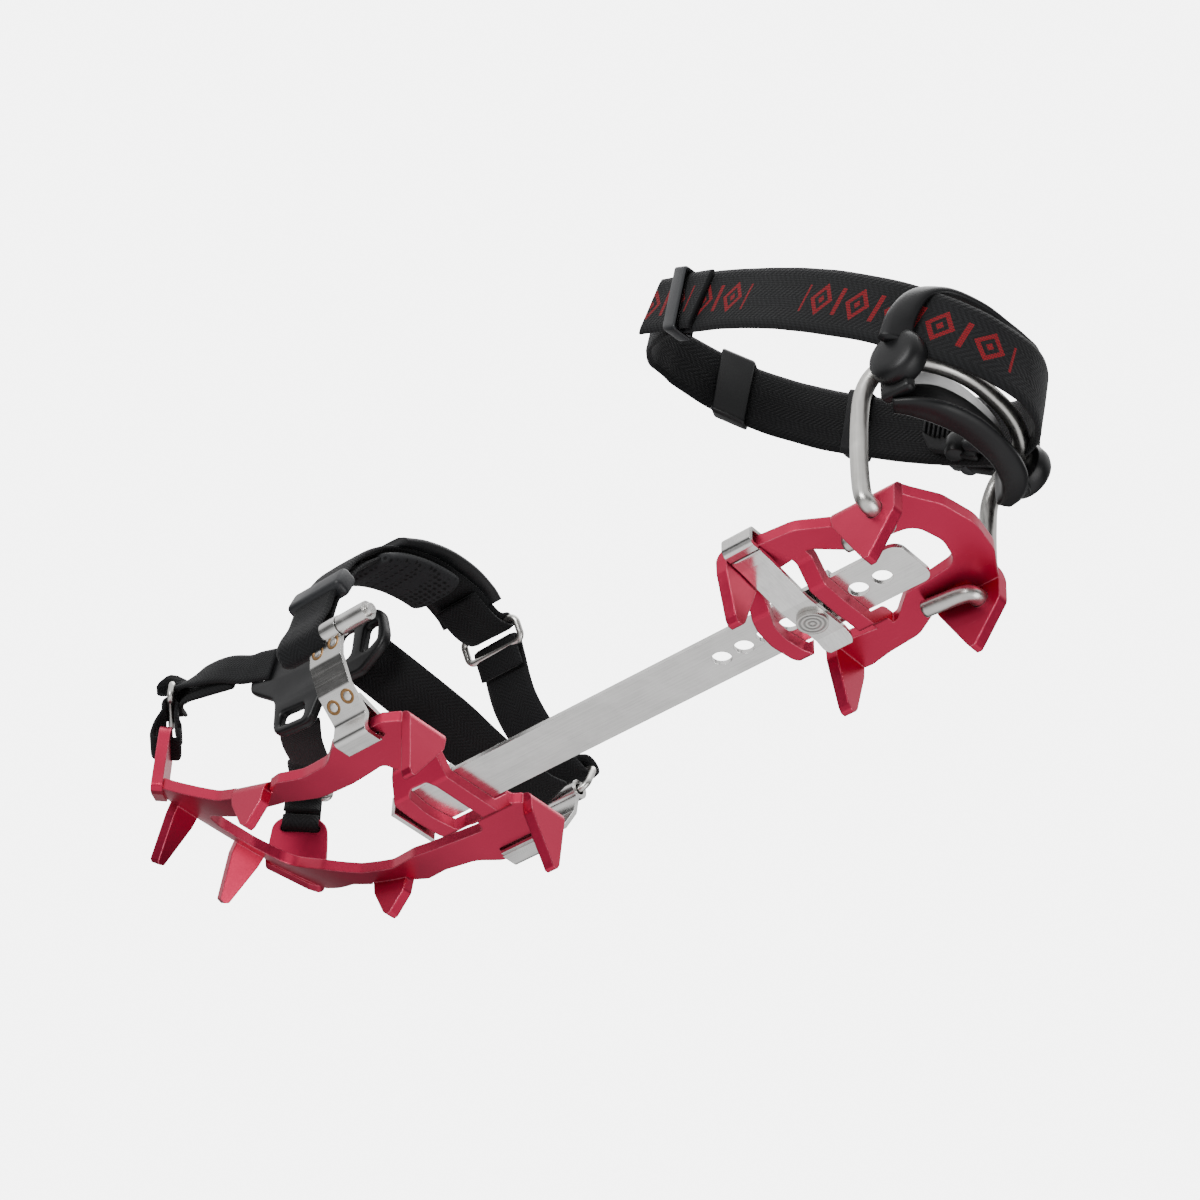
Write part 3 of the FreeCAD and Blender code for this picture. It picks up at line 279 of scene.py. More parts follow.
M_RED = red_anodised()
M_STEEL = steel()
M_BAR = steel("bar_mat", (0.80, 0.79, 0.77), "X", 0.14, 0.30, 0.22)
M_CROSS = steel("cross_mat", (0.78, 0.77, 0.75), "Y", 0.12, 0.26, 0.25)
M_WIRE = steel("wire_mat", (0.62, 0.61, 0.58), "Z", 0.24, 0.42, 0.3)
M_PIN = pin_metal()
M_WEB = webbing()
M_ANKLE = webbing("ankle_mat", 0.0022, marks=[(0.0060, 0.0860, 0.0160), (0.1140, 0.1620, 0.0160)])
M_PLASTIC = plastic()
M_GREY = plastic("grey_plastic_mat", (0.010, 0.011, 0.012), (0.024, 0.025, 0.028), 0.32, 0.5, 1800, 0.15)
M_RUBBER = plastic("rubber_mat", (0.0028, 0.0030, 0.0034), (0.0095, 0.0100, 0.0112), 0.48, 0.68, 1500, 0.25)


def weld_metal():
    k = Nodes("weld_mat")
    c = k.coords()
    n = k.noise(c, 1400, 3)
    col = k.mix(n, (0.16, 0.075, 0.025), (0.40, 0.24, 0.11))
    k.set(Base_Color=col, Metallic=0.9)
    k.put(k.b.inputs["Roughness"], k.rng(n, 0.3, 0.7, 0.35, 0.6))
    k.put(k.b.inputs["Normal"], k.bump(n, 0.4, 0.0002))
    return k.m


M_WELD = weld_metal()


def mesh_cover():
    """Perforated cover of the instep pad: rows of small round holes."""
    k = Nodes("mesh_cover_mat")
    c = k.coords()
    v = k.n("ShaderNodeTexVoronoi")
    k.link(k.mapped(c, (430, 430, 430)), v.inputs["Vector"])
    v.inputs["Scale"].default_value = 1.0
    v.inputs["Randomness"].default_value = 0.18
    hole = k.rng(v.outputs["Distance"], 0.20, 0.40, 0.0, 1.0)
    fine = k.noise(c, 1800, 3)
    # the holes are painted near-black: painted shade inside the perforations, with a real bump below
    col = k.mix(hole, (0.0010, 0.0010, 0.0012), k.mix(fine, (0.0100, 0.0105, 0.0115), (0.0230, 0.0240, 0.0260)))
    k.set(Base_Color=col, Roughness=0.72)
    k.b.inputs["Specular IOR Level"].default_value = 0.22
    k.put(k.b.inputs["Normal"], k.bump(k.math("ADD", k.math("MULTIPLY", hole, 1.0), k.math("MULTIPLY", fine, 0.25)), 0.7, 0.0004))
    return k.m


M_MESH = mesh_cover()


def dress(node, m):
    o = NODE[node]
    if not o.material_slots:
        o.data.materials.append(m)
    for s in o.material_slots:
        s.material = m


for n in ("toe_frame", "heel_frame"):
    dress(n, M_RED)
dress("extension_bar", M_BAR)
for n in ("toe_bar_keeper", "heel_bar_keeper", "latch_leaf", "latch_clip"):
    dress(n, M_CROSS)
for n in ("latch_rivets", "near_link", "far_link", "lock_roller", "near_lock_bar", "buckle_axle"):
    dress(n, M_STEEL)
for n in ("heel_bail", "far_ring", "slide_ring", "near_front_ring", "far_front_ring"):
    dress(n, M_WIRE)
dress("latch_pin", M_PIN)


# ------------------------------------------------------------- builders
def finish_mesh(name, me, m, body, smooth=True):
    me.materials.clear()
    me.materials.append(m)
    for p in me.polygons:
        p.use_smooth = smooth
    o = bpy.data.objects.new(name, me)
    bpy.context.scene.collection.objects.link(o)
    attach(o, body)
    return o


def spline(pts, n, closed=False):
    """Catmull-Rom through pts (any dimension, as Vectors)."""
    out = []
    k = len(pts)
    segs = k if closed else k - 1
    for i in range(segs):
        if closed:
            a, b, c, d = pts[i - 1], pts[i], pts[(i + 1) % k], pts[(i + 2) % k]
        else:
            a = pts[i - 1] if i > 0 else pts[0] * 2 - pts[1]
            b, c = pts[i], pts[i + 1]
            d = pts[i + 2] if i + 2 < k else pts[-1] * 2 - pts[-2]
        for j in range(n):
            t = j / n
            out.append(0.5 * ((2 * b) + (c - a) * t + (2 * a - 5 * b + 4 * c - d) * t * t + (3 * b - a - 3 * c + d) * t ** 3))
    if not closed:
        out.append(pts[-1].copy())
    return out


def ribbon(name, pts, wdir, width, thick, m, body, n=10, closed=False, flip=1, wav=0.0, seed=0, across=10, cup=0.0, taper=None):
    """Webbing: a band along pts (mm, drawing frame) with rounded selvedges.
    wdir is one width direction or one per point; flip turns the outer face."""
    pv = [Vector(p) for p in pts]
    wd = [Vector(w) for w in wdir] if isinstance(wdir, list) else [Vector(wdir)] * len(pv)
    c = spline(pv, n, closed)
    w = spline(wd, n, closed)
    N = len(c)
    rows = []
    u = 0.0
    hw, ht = width / 2, thick / 2
    prof = []
    for j in range(across + 1):
        s = -1 + 2 * j / across
        edge = max(0.0, (abs(s) - 0.90) / 0.10)
        prof.append((s, ht * (1.0 - 0.45 * edge * edge) * (1.0 + 0.0), 0))
    low = [(s, -t, 1) for s, t, _ in reversed(prof)]
    ring = prof + [(1.015, 0.0, 0)] + low + [(-1.015, 0.0, 0)]
    us = []
    for i in range(N):
        if i:
            u += (c[i] - c[i - 1]).length
        us.append(u)
        a = c[(i - 1) % N] if closed or i > 0 else c[0]
        b = c[(i + 1) % N] if closed or i < N - 1 else c[-1]
        t = (b - a).normalized()
        ww = (w[i] - t * w[i].dot(t)).normalized()
        nn = t.cross(ww).normalized() * flip
        hwi = hw
        if taper is not None:
            hwi = hw * taper(i / max(1, N - 1))
        row = []
        for (s, h, side) in ring:
            q = c[i] + ww * (s * hwi) + nn * (h + cup * s * s)
            if wav:
                q = q + nn * (wav * noise.noise(Vector((u * 0.05 + seed, s * 0.6, seed * 1.7)))) + ww * (wav * 0.3 * noise.noise(Vector((u * 0.09, seed + 5.0, 0.3))))
            row.append(q)
        rows.append(row)
    R = len(ring)
    bm = bmesh.new()
    uvl = bm.loops.layers.uv.new("UVMap")
    vs = [[bm.verts.new(P(*q)) for q in row] for row in rows]
    total = u + ((c[0] - c[-1]).length if closed else 0)

    def vv(j):
        s, h, side = ring[j]
        return s * width / 2000.0 + (1.0 if side else 0.0)
    last = N if closed else N - 1
    for i in range(last):
        i2 = (i + 1) % N
        u0 = us[i] / 1000.0
        u1 = (us[i2] if i2 else total) / 1000.0
        for j in range(R):
            j2 = (j + 1) % R
            quad = [vs[i][j], vs[i2][j], vs[i2][j2], vs[i][j2]]
            uvq = [(u0, vv(j)), (u1, vv(j)), (u1, vv(j2)), (u0, vv(j2))]
            if ring[j][2] != ring[j2][2]:
                base = vv(j)
                uvq = [(u0, base), (u1, base), (u1, base + 0.001), (u0, base + 0.001)]
            if flip < 0:
                quad.reverse()
                uvq.reverse()
            f = bm.faces.new(quad)
            for l, q in zip(f.loops, uvq):
                l[uvl].uv = q
    if not closed:
        for i, rev in ((0, False), (N - 1, True)):
            lst = list(vs[i])
            if rev != (flip < 0):
                lst.reverse()
            f = bm.faces.new(lst)
            for l in f.loops:
                l[uvl].uv = (us[i] / 1000.0, 0.3)
    bmesh.ops.recalc_face_normals(bm, faces=bm.faces)
    me = bpy.data.meshes.new(name)
    bm.to_mesh(me)
    bm.free()
    return finish_mesh(name, me, m, body)


def wire(name, pts, r, m, body, n=8, closed=False, sides=14, flat=None):
    c = spline([Vector(p) for p in pts], n, closed)
    N = len(c)
    bm = bmesh.new()
    prev = None
    rows = []
    for i in range(N):
        a = c[(i - 1) % N] if closed or i > 0 else c[0]
        b = c[(i + 1) % N] if closed or i < N - 1 else c[-1]
        t = (b - a).normalized()
        if prev is None:
            ref = Vector((0, 0, 1)) if abs(t.z) < 0.9 else Vector((1, 0, 0))
            x = (ref - t * ref.dot(t)).normalized()
        else:
            x = (prev - t * prev.dot(t)).normalized()
        prev = x
        y = t.cross(x)
        row = []
        for j in range(sides):
            g = 2 * math.pi * j / sides
            row.append(bm.verts.new(P(*(c[i] + x * (math.cos(g) * r) + y * (math.sin(g) * r)))))
        rows.append(row)
    last = N if closed else N - 1
    for i in range(last):
        for j in range(sides):
            bm.faces.new([rows[i][j], rows[(i + 1) % N][j], rows[(i + 1) % N][(j + 1) % sides], rows[i][(j + 1) % sides]])
    if not closed:
        bm.faces.new(list(reversed(rows[0])))
        bm.faces.new(rows[-1])
    bmesh.ops.recalc_face_normals(bm, faces=bm.faces)
    me = bpy.data.meshes.new(name)
    bm.to_mesh(me)
    bm.free()
    return finish_mesh(name, me, m, body)


def sweep(name, pts, ups, profile, m, body, n=10, closed=False, scale=None):
    """Closed profile (side, up) mm swept along pts; ups give the up direction."""
    c = spline([Vector(p) for p in pts], n, closed)
    w = spline([Vector(q) for q in ups], n, closed)
    sc = spline([Vector((q, 0, 0)) for q in scale], n, closed) if scale else None
    N = len(c)
    bm = bmesh.new()
    rows = []
    for i in range(N):
        a = c[(i - 1) % N] if closed or i > 0 else c[0]
        b = c[(i + 1) % N] if closed or i < N - 1 else c[-1]
        t = (b - a).normalized()
        up = (w[i] - t * w[i].dot(t)).normalized()
        side = t.cross(up)
        k = sc[i].x if sc else 1.0
        rows.append([bm.verts.new(P(*(c[i] + side * (p[0] * k) + up * (p[1] * k)))) for p in profile])
    last = N if closed else N - 1
    K = len(profile)
    for i in range(last):
        for j in range(K):
            bm.faces.new([rows[i][j], rows[(i + 1) % N][j], rows[(i + 1) % N][(j + 1) % K], rows[i][(j + 1) % K]])
    if not closed:
        bm.faces.new(list(reversed(rows[0])))
        bm.faces.new(rows[-1])
    bmesh.ops.recalc_face_normals(bm, faces=bm.faces)
    me = bpy.data.meshes.new(name)
    bm.to_mesh(me)
    bm.free()
    o = finish_mesh(name, me, m, body)
    return o


def apply_mods(o):
    dg = bpy.context.evaluated_depsgraph_get()
    me = bpy.data.meshes.new_from_object(o.evaluated_get(dg))
    mats = [s.material for s in o.material_slots]
    o.modifiers.clear()
    old = o.data
    o.data = me
    bpy.data.meshes.remove(old)
    return o


def bevel(o, w, seg=3, angle=35):
    b = o.modifiers.new("Bevel", "BEVEL")
    b.width = w / 1000.0
    b.segments = seg
    b.limit_method = "ANGLE"
    b.angle_limit = math.radians(angle)
    b.harden_normals = False
    return apply_mods(o)


def outline(corners, n=6):
    """(a, b, r) corners to a polygon with rounded corners."""
    out = []
    k = len(corners)
    for i in range(k):
        a, b, c = Vector(corners[i - 1][:2]), Vector(corners[i][:2]), Vector(corners[(i + 1) % k][:2])
        r = corners[i][2] if len(corners[i]) > 2 else 0
        u, w = (a - b), (c - b)
        lu, lw = u.length, w.length
        u.normalize(); w.normalize()
        ang = math.acos(max(-1, min(1, u.dot(w))))
        if r <= 0 or abs(ang - math.pi) < 1e-3:
            out.append(b)
            continue
        t = min(r / math.tan(ang / 2), 0.48 * min(lu, lw))
        p1, p2 = b + u * t, b + w * t
        for j in range(n + 1):
            s = j / n
            out.append((1 - s) ** 2 * p1 + 2 * s * (1 - s) * b + s * s * p2)
    return out


def plate(name, corners, O, a, b, nrm, thick, m, body, holes=(), edge=0.6, bend=None):
    """Moulded plate with holes: outline in O + u*a + v*b, raised along nrm."""
    cu = bpy.data.curves.new(name + "_c", "CURVE")
    cu.dimensions = "2D"
    cu.fill_mode = "BOTH"
    e = edge / 1000.0
    cu.extrude = max(0.00005, thick / 2000.0 - e)
    cu.bevel_depth = e
    cu.bevel_resolution = 3
    for idx, loop in enumerate([corners] + list(holes)):
        pg = outline(loop)
        sp = cu.splines.new("POLY")
        sp.points.add(len(pg) - 1)
        for q, p in zip(sp.points, pg):
            q.co = (p.x / 1000.0, p.y / 1000.0, 0, 1)
        sp.use_cyclic_u = True
    cu.offset = -e
    tmp = bpy.data.objects.new(name + "_t", cu)
    bpy.context.scene.collection.objects.link(tmp)
    bpy.context.view_layer.update()
    dg = bpy.context.evaluated_depsgraph_get()
    me = bpy.data.meshes.new_from_object(tmp.evaluated_get(dg))
    bpy.data.objects.remove(tmp)
    bpy.data.curves.remove(cu)
    A, B, C = Vector(a).normalized(), Vector(b).normalized(), Vector(nrm).normalized()
    o0 = Vector(O)
    for v in me.vertices:
        x, y, z = v.co * 1000.0
        z += thick / 2
        if bend is not None:
            z += bend(x, y)
        v.co = P(*(o0 + A * x + B * y + C * z))
    bm = bmesh.new()
    bm.from_mesh(me)
    bmesh.ops.remove_doubles(bm, verts=bm.verts, dist=0.000005)
    bmesh.ops.recalc_face_normals(bm, faces=bm.faces)
    bm.to_mesh(me)
    bm.free()
    o = finish_mesh(name, me, m, body, smooth=False)
    for p in me.polygons:
        p.use_smooth = True
    md = o.modifiers.new("Smooth", "EDGE_SPLIT")
    md.split_angle = math.radians(38)
    return apply_mods(o)


def lump(name, O, a, b, c, dims, m, body, r=1.0, seg=4, shape=None):
    """Moulded block, rounded edges, optional per-vertex shaping before the bevel."""
    A, B = Vector(a).normalized(), Vector(b).normalized()
    C = Vector(c).normalized()
    bm = bmesh.new()
    bmesh.ops.create_cube(bm, size=1.0)
    if shape is not None:
        bmesh.ops.subdivide_edges(bm, edges=bm.edges, cuts=3, use_grid_fill=True)
    o0 = Vector(O)
    for v in bm.verts:
        x, y, z = v.co.x * dims[0], v.co.y * dims[1], v.co.z * dims[2]
        if shape is not None:
            x, y, z = shape(x, y, z)
        v.co = P(*(o0 + A * x + B * y + C * z))
    bmesh.ops.recalc_face_normals(bm, faces=bm.faces)
    me = bpy.data.meshes.new(name)
    bm.to_mesh(me)
    bm.free()
    o = finish_mesh(name, me, m, body)
    return bevel(o, r, seg, 30)


def turned(name, A, axis, prof, m, body, sides=36):
    """Lathe: prof is (distance along axis, radius) mm."""
    ax = Vector(axis).normalized()
    ref = Vector((0, 0, 1)) if abs(ax.z) < 0.9 else Vector((1, 0, 0))
    x = (ref - ax * ref.dot(ax)).normalized()
    y = ax.cross(x)
    bm = bmesh.new()
    rows = []
    for (d, r) in prof:
        rows.append([bm.verts.new(P(*(Vector(A) + ax * d + x * (r * math.cos(2 * math.pi * j / sides)) + y * (r * math.sin(2 * math.pi * j / sides))))) for j in range(sides)])
    for i in range(len(prof) - 1):
        for j in range(sides):
            bm.faces.new([rows[i][j], rows[i][(j + 1) % sides], rows[i + 1][(j + 1) % sides], rows[i + 1][j]])
    bm.faces.new(list(reversed(rows[0])))
    bm.faces.new(rows[-1])
    bmesh.ops.recalc_face_normals(bm, faces=bm.faces)
    me = bpy.data.meshes.new(name)
    bm.to_mesh(me)
    bm.free()
    o = finish_mesh(name, me, m, body)
    md = o.modifiers.new("Split", "EDGE_SPLIT")
    md.split_angle = math.radians(40)
    return apply_mods(o)


# --------------------------------------------------------- ankle strap
ca, sa = math.cos(math.radians(36.4)), math.sin(math.radians(36.4))
E1 = Vector((-ca, 0, sa))
E3 = Vector((0.2, 0, 0.98)).normalized()
SO = Vector((152.4, 0, 60.9))
YY = Vector((0, 1, 0))


def on(u, v, w=0.0):
    return SO + E1 * u + YY * v + E3 * w


loop_uv = [(-0.8, -5, 2.0), (1.6, -14, 1.8), (8.2, -22, 1.8), (21, -29, 2.0), (42, -33.4, 3.2), (72, -34.9, 3.8), (102, -33.9, 3.0), (128, -30.9, 1.6), (150, -25.2, 0.4), (166.5, -16.8, 0), (176.5, -6.5, 0), (177.6, 1, 0),
           (176, 8, -0.3), (168, 18, -1.0), (153, 27, -2.2), (130, 32.6, -3.0), (102, 34.7, -3.2), (72, 35.1, -2.0), (44, 33.0, -0.6), (27, 27.8, 0.4), (14, 20, 1.2), (6, 12, 1.8), (0.8, 3.5, 2.0)]
ankle = ribbon("ankle_webbing", [on(*q) for q in loop_uv], E3, 22.0, 2.1, M_ANKLE, BAIL, n=8, closed=True, flip=-1, wav=0.5, seed=3.1, across=14)
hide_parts("ankle_strap")
tail = ribbon("ankle_tail", [on(124, -33.8, 1.6), on(133, -32.3, 1.2), on(142, -30.4, 0.8), on(149, -29.4, 0.2), on(155.5, -28.8, -0.6)], E3, 21.0, 1.7, M_ANKLE, BAIL, flip=-1, wav=0.3, seed=7.0)
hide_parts("strap_tail")


def band_clip(name, u, v, du, dv, dw, m, skew, r=1.4, node=None):
    """Moulded keeper round the webbing: one rounded block."""
    o = lump(name, on(u, v), E1 + YY * skew, YY - E1 * skew, E3, (du, dv, dw), m, BAIL, r=r)
    if node:
        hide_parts(node)
    return o


def keeper_frame(name, u, v, du, dv, dw, wall, m, skew, node, rr=1.0, body=BAIL, w=0.0):
    """Open rectangular loop that the webbing runs through."""
    A = (E1 + YY * skew).normalized()
    Bv = (YY - E1 * skew).normalized()
    O = on(u, v, w) - A * (du / 2)
    hv, hw2 = dv / 2, dw / 2
    outer = [(-hv, -hw2, 1.8), (hv, -hw2, 1.8), (hv, hw2, 1.8), (-hv, hw2, 1.8)]
    inner = [(-hv + wall, -hw2 + wall, 0.6), (hv - wall, -hw2 + wall, 0.6), (hv - wall, hw2 - wall, 0.6), (-hv + wall, hw2 - wall, 0.6)]
    o = plate(name, outer, O, Bv, E3, A, du, m, body, holes=[inner], edge=rr)
    if node:
        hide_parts(node)
    return o


keeper_frame("keeper_grey", 137, -30.4, 8.0, 8.6, 26.6, 1.6, M_GREY, 0.19, "strap_keeper", w=1.0)
keeper_frame("keeper_elastic", 108, 34.2, 11.0, 6.0, 26.2, 1.5, M_RUBBER, -0.05, "elastic_keeper", w=-3.2)
sl = keeper_frame("slide_plastic", 162.0, 21.8, 13.0, 8.0, 27.0, 1.7, M_PLASTIC, -0.72, "strap_slide", w=-1.6)

# cam buckle on the outer side of the far band
ub, vb = 60.0, 39.5
buck = plate("buckle_shell", [(-13.4, -12.4, 2.5), (13.4, -10.8, 2.5), (13.4, 10.8, 2.5), (-13.4, 12.4, 2.5)],
             on(ub, vb - 2.8), -E1, E3, YY, 2.6, M_PLASTIC, BAIL,
             holes=[[(2.6, -7.4, 1), (11.4, -6.8, 1), (11.4, 6.8, 1), (2.6, 7.4, 1)]], edge=0.7)
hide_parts("buckle_body")
for i in range(6):
    lump("buckle_rib_%d" % i, on(ub + 11.2 - i * 2.0, vb + 0.25), E1, YY, E3, (0.9, 1.2, 20.0 - 0.9 * abs(i - 2.5)), M_PLASTIC, BAIL, r=0.3)
for sgn in (-1, 1):
    lump("buckle_cheek_%d" % (sgn + 1), on(ub - 2.0, vb + 1.1, sgn * 10.7), E1, YY, E3, (21.0, 4.6, 2.2), M_PLASTIC, BAIL, r=0.9)
turned("buckle_boss", on(ub, vb + 1.3, -12.2), E3, [(0, 1.2), (0.4, 2.6), (2.6, 3.1), (21.8, 3.1), (24.0, 2.6), (24.4, 1.2)], M_GREY, BAIL, 28)
# the shell's inner half, on the band's inner face
plate("buckle_inner", [(-13.2, -12.2, 3), (9.0, -11.2, 3), (13.2, -6.0, 3), (13.2, 9.5, 3), (-13.2, 12.2, 3)],
      on(ub + 1.0, 33.0), E1, E3, -YY, 2.8, M_PLASTIC, BAIL, holes=[[(-10.6, -7.0, 1), (-5.2, -7.0, 1), (-5.2, 6.6, 1), (-10.6, 6.6, 1)]], edge=0.8)
for i in range(6):
    lump("buckle_grip_%d" % i, on(ub + 12.4 - i * 2.2, 29.9, 0.6), E1, YY, E3, (1.0, 1.4, 14.5 - 1.1 * abs(i - 2.5)), M_PLASTIC, BAIL, r=0.35)
turned("buckle_pivot", on(ub - 2.6, 30.4, -12.6), E3, [(0, 1.4), (0.5, 3.2), (1.4, 3.7), (6.6, 3.7), (7.6, 3.1), (7.8, 0.6)], M_PLASTIC, BAIL, 32)
turned("buckle_bar", on(ub - 5.0, 30.6, -7.6), -E1, [(0, 1.0), (0.4, 2.0), (8.6, 2.0), (9.4, 1.6), (9.6, 0.4)], M_GREY, BAIL, 24)
lev = lump("buckle_tongue", on(50.2, 42.9), E1, YY, E3, (20.2, 2.4, 12.6), M_PLASTIC, CAM, r=0.8,
           shape=lambda x, y, z: (x, y + 0.9 * (x / 10.3) ** 2 * (1 if x < 0 else 0), z * (1.0 - 0.18 * max(0, -x) / 10.3)))
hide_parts("buckle_lever")

# --------------------------------------------------------- heel cradle
bx, bz, bh, wr = 112.9, 15.9, 32.2, 2.75
# C-section channel behind the bail's top, its open side outward
zc = bz + 38.8
arc = [(bx + 8.8, -28.4, zc), (bx + 14.6, -24.8, zc), (bx + 19.4, -18.6, zc), (bx + 22.2, -9.5, zc), (bx + 22.8, 0, zc), (bx + 22.2, 9.5, zc), (bx + 19.4, 18.6, zc), (bx + 14.6, 24.8, zc), (bx + 8.8, 28.4, zc)]
cprof = [(-5.2, -7.0), (-4.2, -7.6), (2.6, -7.2), (4.4, -6.2), (4.5, -4.6), (3.2, -4.0), (0.4, -4.2), (-0.8, -3.0), (-1.2, 0.0), (-1.2, 3.4), (-1.2, 5.0), (-1.0, 6.2), (-1.8, 7.2), (-2.8, 13.2), (-3.4, 14.4),
         (-4.5, 14.4), (-5.1, 13.0), (-5.5, 7.0), (-5.7, 4.0), (-5.8, 0.0), (-5.6, -4.0)]
arc2 = [Vector(q) for q in arc]
crad = sweep("cradle_channel", arc2, [Vector((0, 0, 1))] * len(arc2), [(p[0] * 0.84, p[1] * 0.94) for p in cprof], M_PLASTIC, BAIL, n=8, scale=[0.62, 0.86, 1.0, 1.0, 1.0, 1.0, 1.0, 0.86, 0.62])
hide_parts("heel_cradle")
for s, nm in ((-1, "near"), (1, "far")):
    # round lug that snaps on the wire's corner
    turned("cradle_lug_" + nm, (bx + 14.0, s * 28.0, bz + 48.6), (0, s, 0), [(0, 6.4), (0.6, 8.3), (2.2, 9.0), (5.6, 9.0), (7.2, 8.3), (8.1, 6.6), (8.5, 4.2), (8.6, 0.01)], M_PLASTIC, BAIL, 40)
    lump("cradle_web_" + nm, (bx + 11.6, s * 29.6, bz + 43.0), (1, 0, 0), (0, 1, 0), (0, 0, 1), (11.0, 4.2, 12.5), M_PLASTIC, BAIL, r=1.6)
hoop_pts = [(128.4, -35.4, 68), (131.2, -35.2, 77), (135.6, -31.6, 86.0), (140.0, -24.0, 89.6), (145.2, -14, 87.2), (148.4, -6, 83.0), (149.2, 0, 82.0), (148.4, 6, 83.0), (143.6, 14, 86.0), (137.4, 23.0, 87.0), (132.6, 30.4, 83.4), (129.8, 34.6, 76), (128.0, 35.4, 68)]
hoop = sweep("cradle_hoop", hoop_pts, [Vector((0.75, -0.5, 0.3)), Vector((0.7, -0.5, 0.4)), Vector((0.6, -0.5, 0.6)), Vector((0.5, -0.3, 0.8)), Vector((0.4, -0.1, 0.9)), Vector((0.4, 0, 0.9)), Vector((0.4, 0, 0.9)), Vector((0.4, 0, 0.9)), Vector((0.4, 0.1, 0.9)), Vector((0.5, 0.3, 0.8)), Vector((0.6, 0.5, 0.6)), Vector((0.7, 0.5, 0.4)), Vector((0.75, 0.5, 0.3))],
             [(3.9 * math.copysign(abs(math.cos(2 * math.pi * j / 20)) ** 0.7, math.cos(2 * math.pi * j / 20)), 1.7 * math.sin(2 * math.pi * j / 20)) for j in range(20)], M_PLASTIC, BAIL, n=8, scale=[1.35, 1.15, 1.0, 0.95, 0.9, 0.9, 0.9, 0.9, 0.9, 0.95, 1.0, 1.15, 1.35])
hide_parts("cradle_rim")

# the bail wire: upright legs that bend back into the lugs, then one even arc
leg = [(96.5, -19.4, 17.5), (103, -19.4, 16.9), (109.2, -19.4, 16.15), (112.1, -20.5, 15.9), (112.9, -23.4, 15.9), (112.9, -28.4, 15.9), (112.6, -31.3, 16.9), (112.0, -32.2, 19.9), (111.6, -32.4, 28), (111.7, -32.4, 38),
       (112.4, -32.4, 49), (113.7, -32.2, 57.5), (117.0, -31.6, 63.4), (122.2, -30.2, 66.0), (128.2, -27.2, 66.2), (133.4, -21.6, 65.6), (136.5, -14.6, 65.5), (137.9, -7.4, 65.6), (138.2, 0, 65.7)]
bail_w = wire("bail_wire", leg + [(q[0], -q[1], q[2]) for q in reversed(leg[:-1])], wr, M_WIRE, BAIL, n=7, sides=20)
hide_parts("heel_bail")

# --------------------------------------------------------- side links
LX = -84.5


def link_detail(s, nm):
    # welded seams: heat-tinted rings on the doubled strip
    spots = [(-3.4, 45.6), (3.6, 46.6), (-3.4, 29.4), (3.6, 30.2)] if s < 0 else [(-3.4, 38.0), (3.6, 44.6)]
    for i, (dx, z) in enumerate(spots):
        # outer face of the blade
        line = [(-57.6, 49.4), (-56.6, 41), (-51.8, 32.5), (-43.4, 25.4)]
        y = None
        for (y0, z0), (y1, z1) in zip(line, line[1:]):
            if z1 <= z <= z0:
                f = (z - z1) / (z0 - z1)
                y = y1 + (y0 - y1) * f
                nz = Vector((0, -(z0 - z1), (y0 - y1) * 1.0)).normalized()
        A = Vector((LX + dx, (y * -s if s > 0 else y), z))
        nv = Vector((0, nz.y * (-s if s > 0 else 1), nz.z))
        if s > 0:
            A = Vector((LX + dx, -y, z))
            nv = Vector((0, -nz.y, nz.z))
        turned("weld_core_%s_%d" % (nm, i), A + nv * 0.70, nv, [(0, 1.55), (0.16, 1.5), (0.26, 1.2), (0.30, 0.7), (0.31, 0.05)], M_STEEL, TOE, 24)
        turned("weld_%s_%d" % (nm, i), A + nv * 0.72, nv, [(0, 2.7), (0.20, 2.5), (0.28, 2.1), (0.12, 1.6), (0.06, 1.5)], M_WELD, TOE, 28)


link_detail(-1, "near")
link_detail(1, "far")

# --------------------------------------------------------- toe harness
tw, wth = 19.0, 2.2
HX = -94.0
X1 = (1, 0, 0)
ins = ribbon("instep_webbing", [(HX, -55.4, 48.6), (HX, -58.6, 47.4), (HX, -61.6, 50.6), (HX, -60.6, 56.0), (HX, -57.8, 63.0), (HX, -55.2, 74), (HX, -47.9, 90.6), (HX - 0.5, -33.4, 105.4), (HX - 0.5, -12, 114.3), (HX, 8, 114.2), (HX, 20.5, 110.4), (HX, 25.6, 112.7), (HX, 28.0, 110.6), (HX, 25.8, 108.3), (HX, 18.5, 107.6), (HX, 8.0, 111.2)],
             X1, tw, 1.9, M_WEB, TOE, n=8, flip=-1, wav=0.35, seed=11)
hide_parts("instep_strap")
# second, folded layer on the near side
ribbon("instep_fold", [(HX, -55.6, 60.5), (HX, -53.0, 72), (HX, -46.0, 88.0), (HX, -33.5, 101.5), (HX, -24, 106.3)], X1, tw - 1, 1.7, M_WEB, TOE, n=8, flip=-1, wav=0.3, seed=12)
rub = lump("instep_rubber_keeper", (HX, -53.8, 75.8), X1, (0, 0.36, 0.93), (0, 0.93, -0.36), (24.6, 9.6, 6.8), M_GREY, TOE, r=1.9)
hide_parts("instep_keeper")


def padshape(x, y, z):
    k = 1.0 - 0.18 * (y / 22.0) ** 4
    return (x * k, y, z * (1.0 - 0.35 * (abs(x) / 13.5) ** 3))


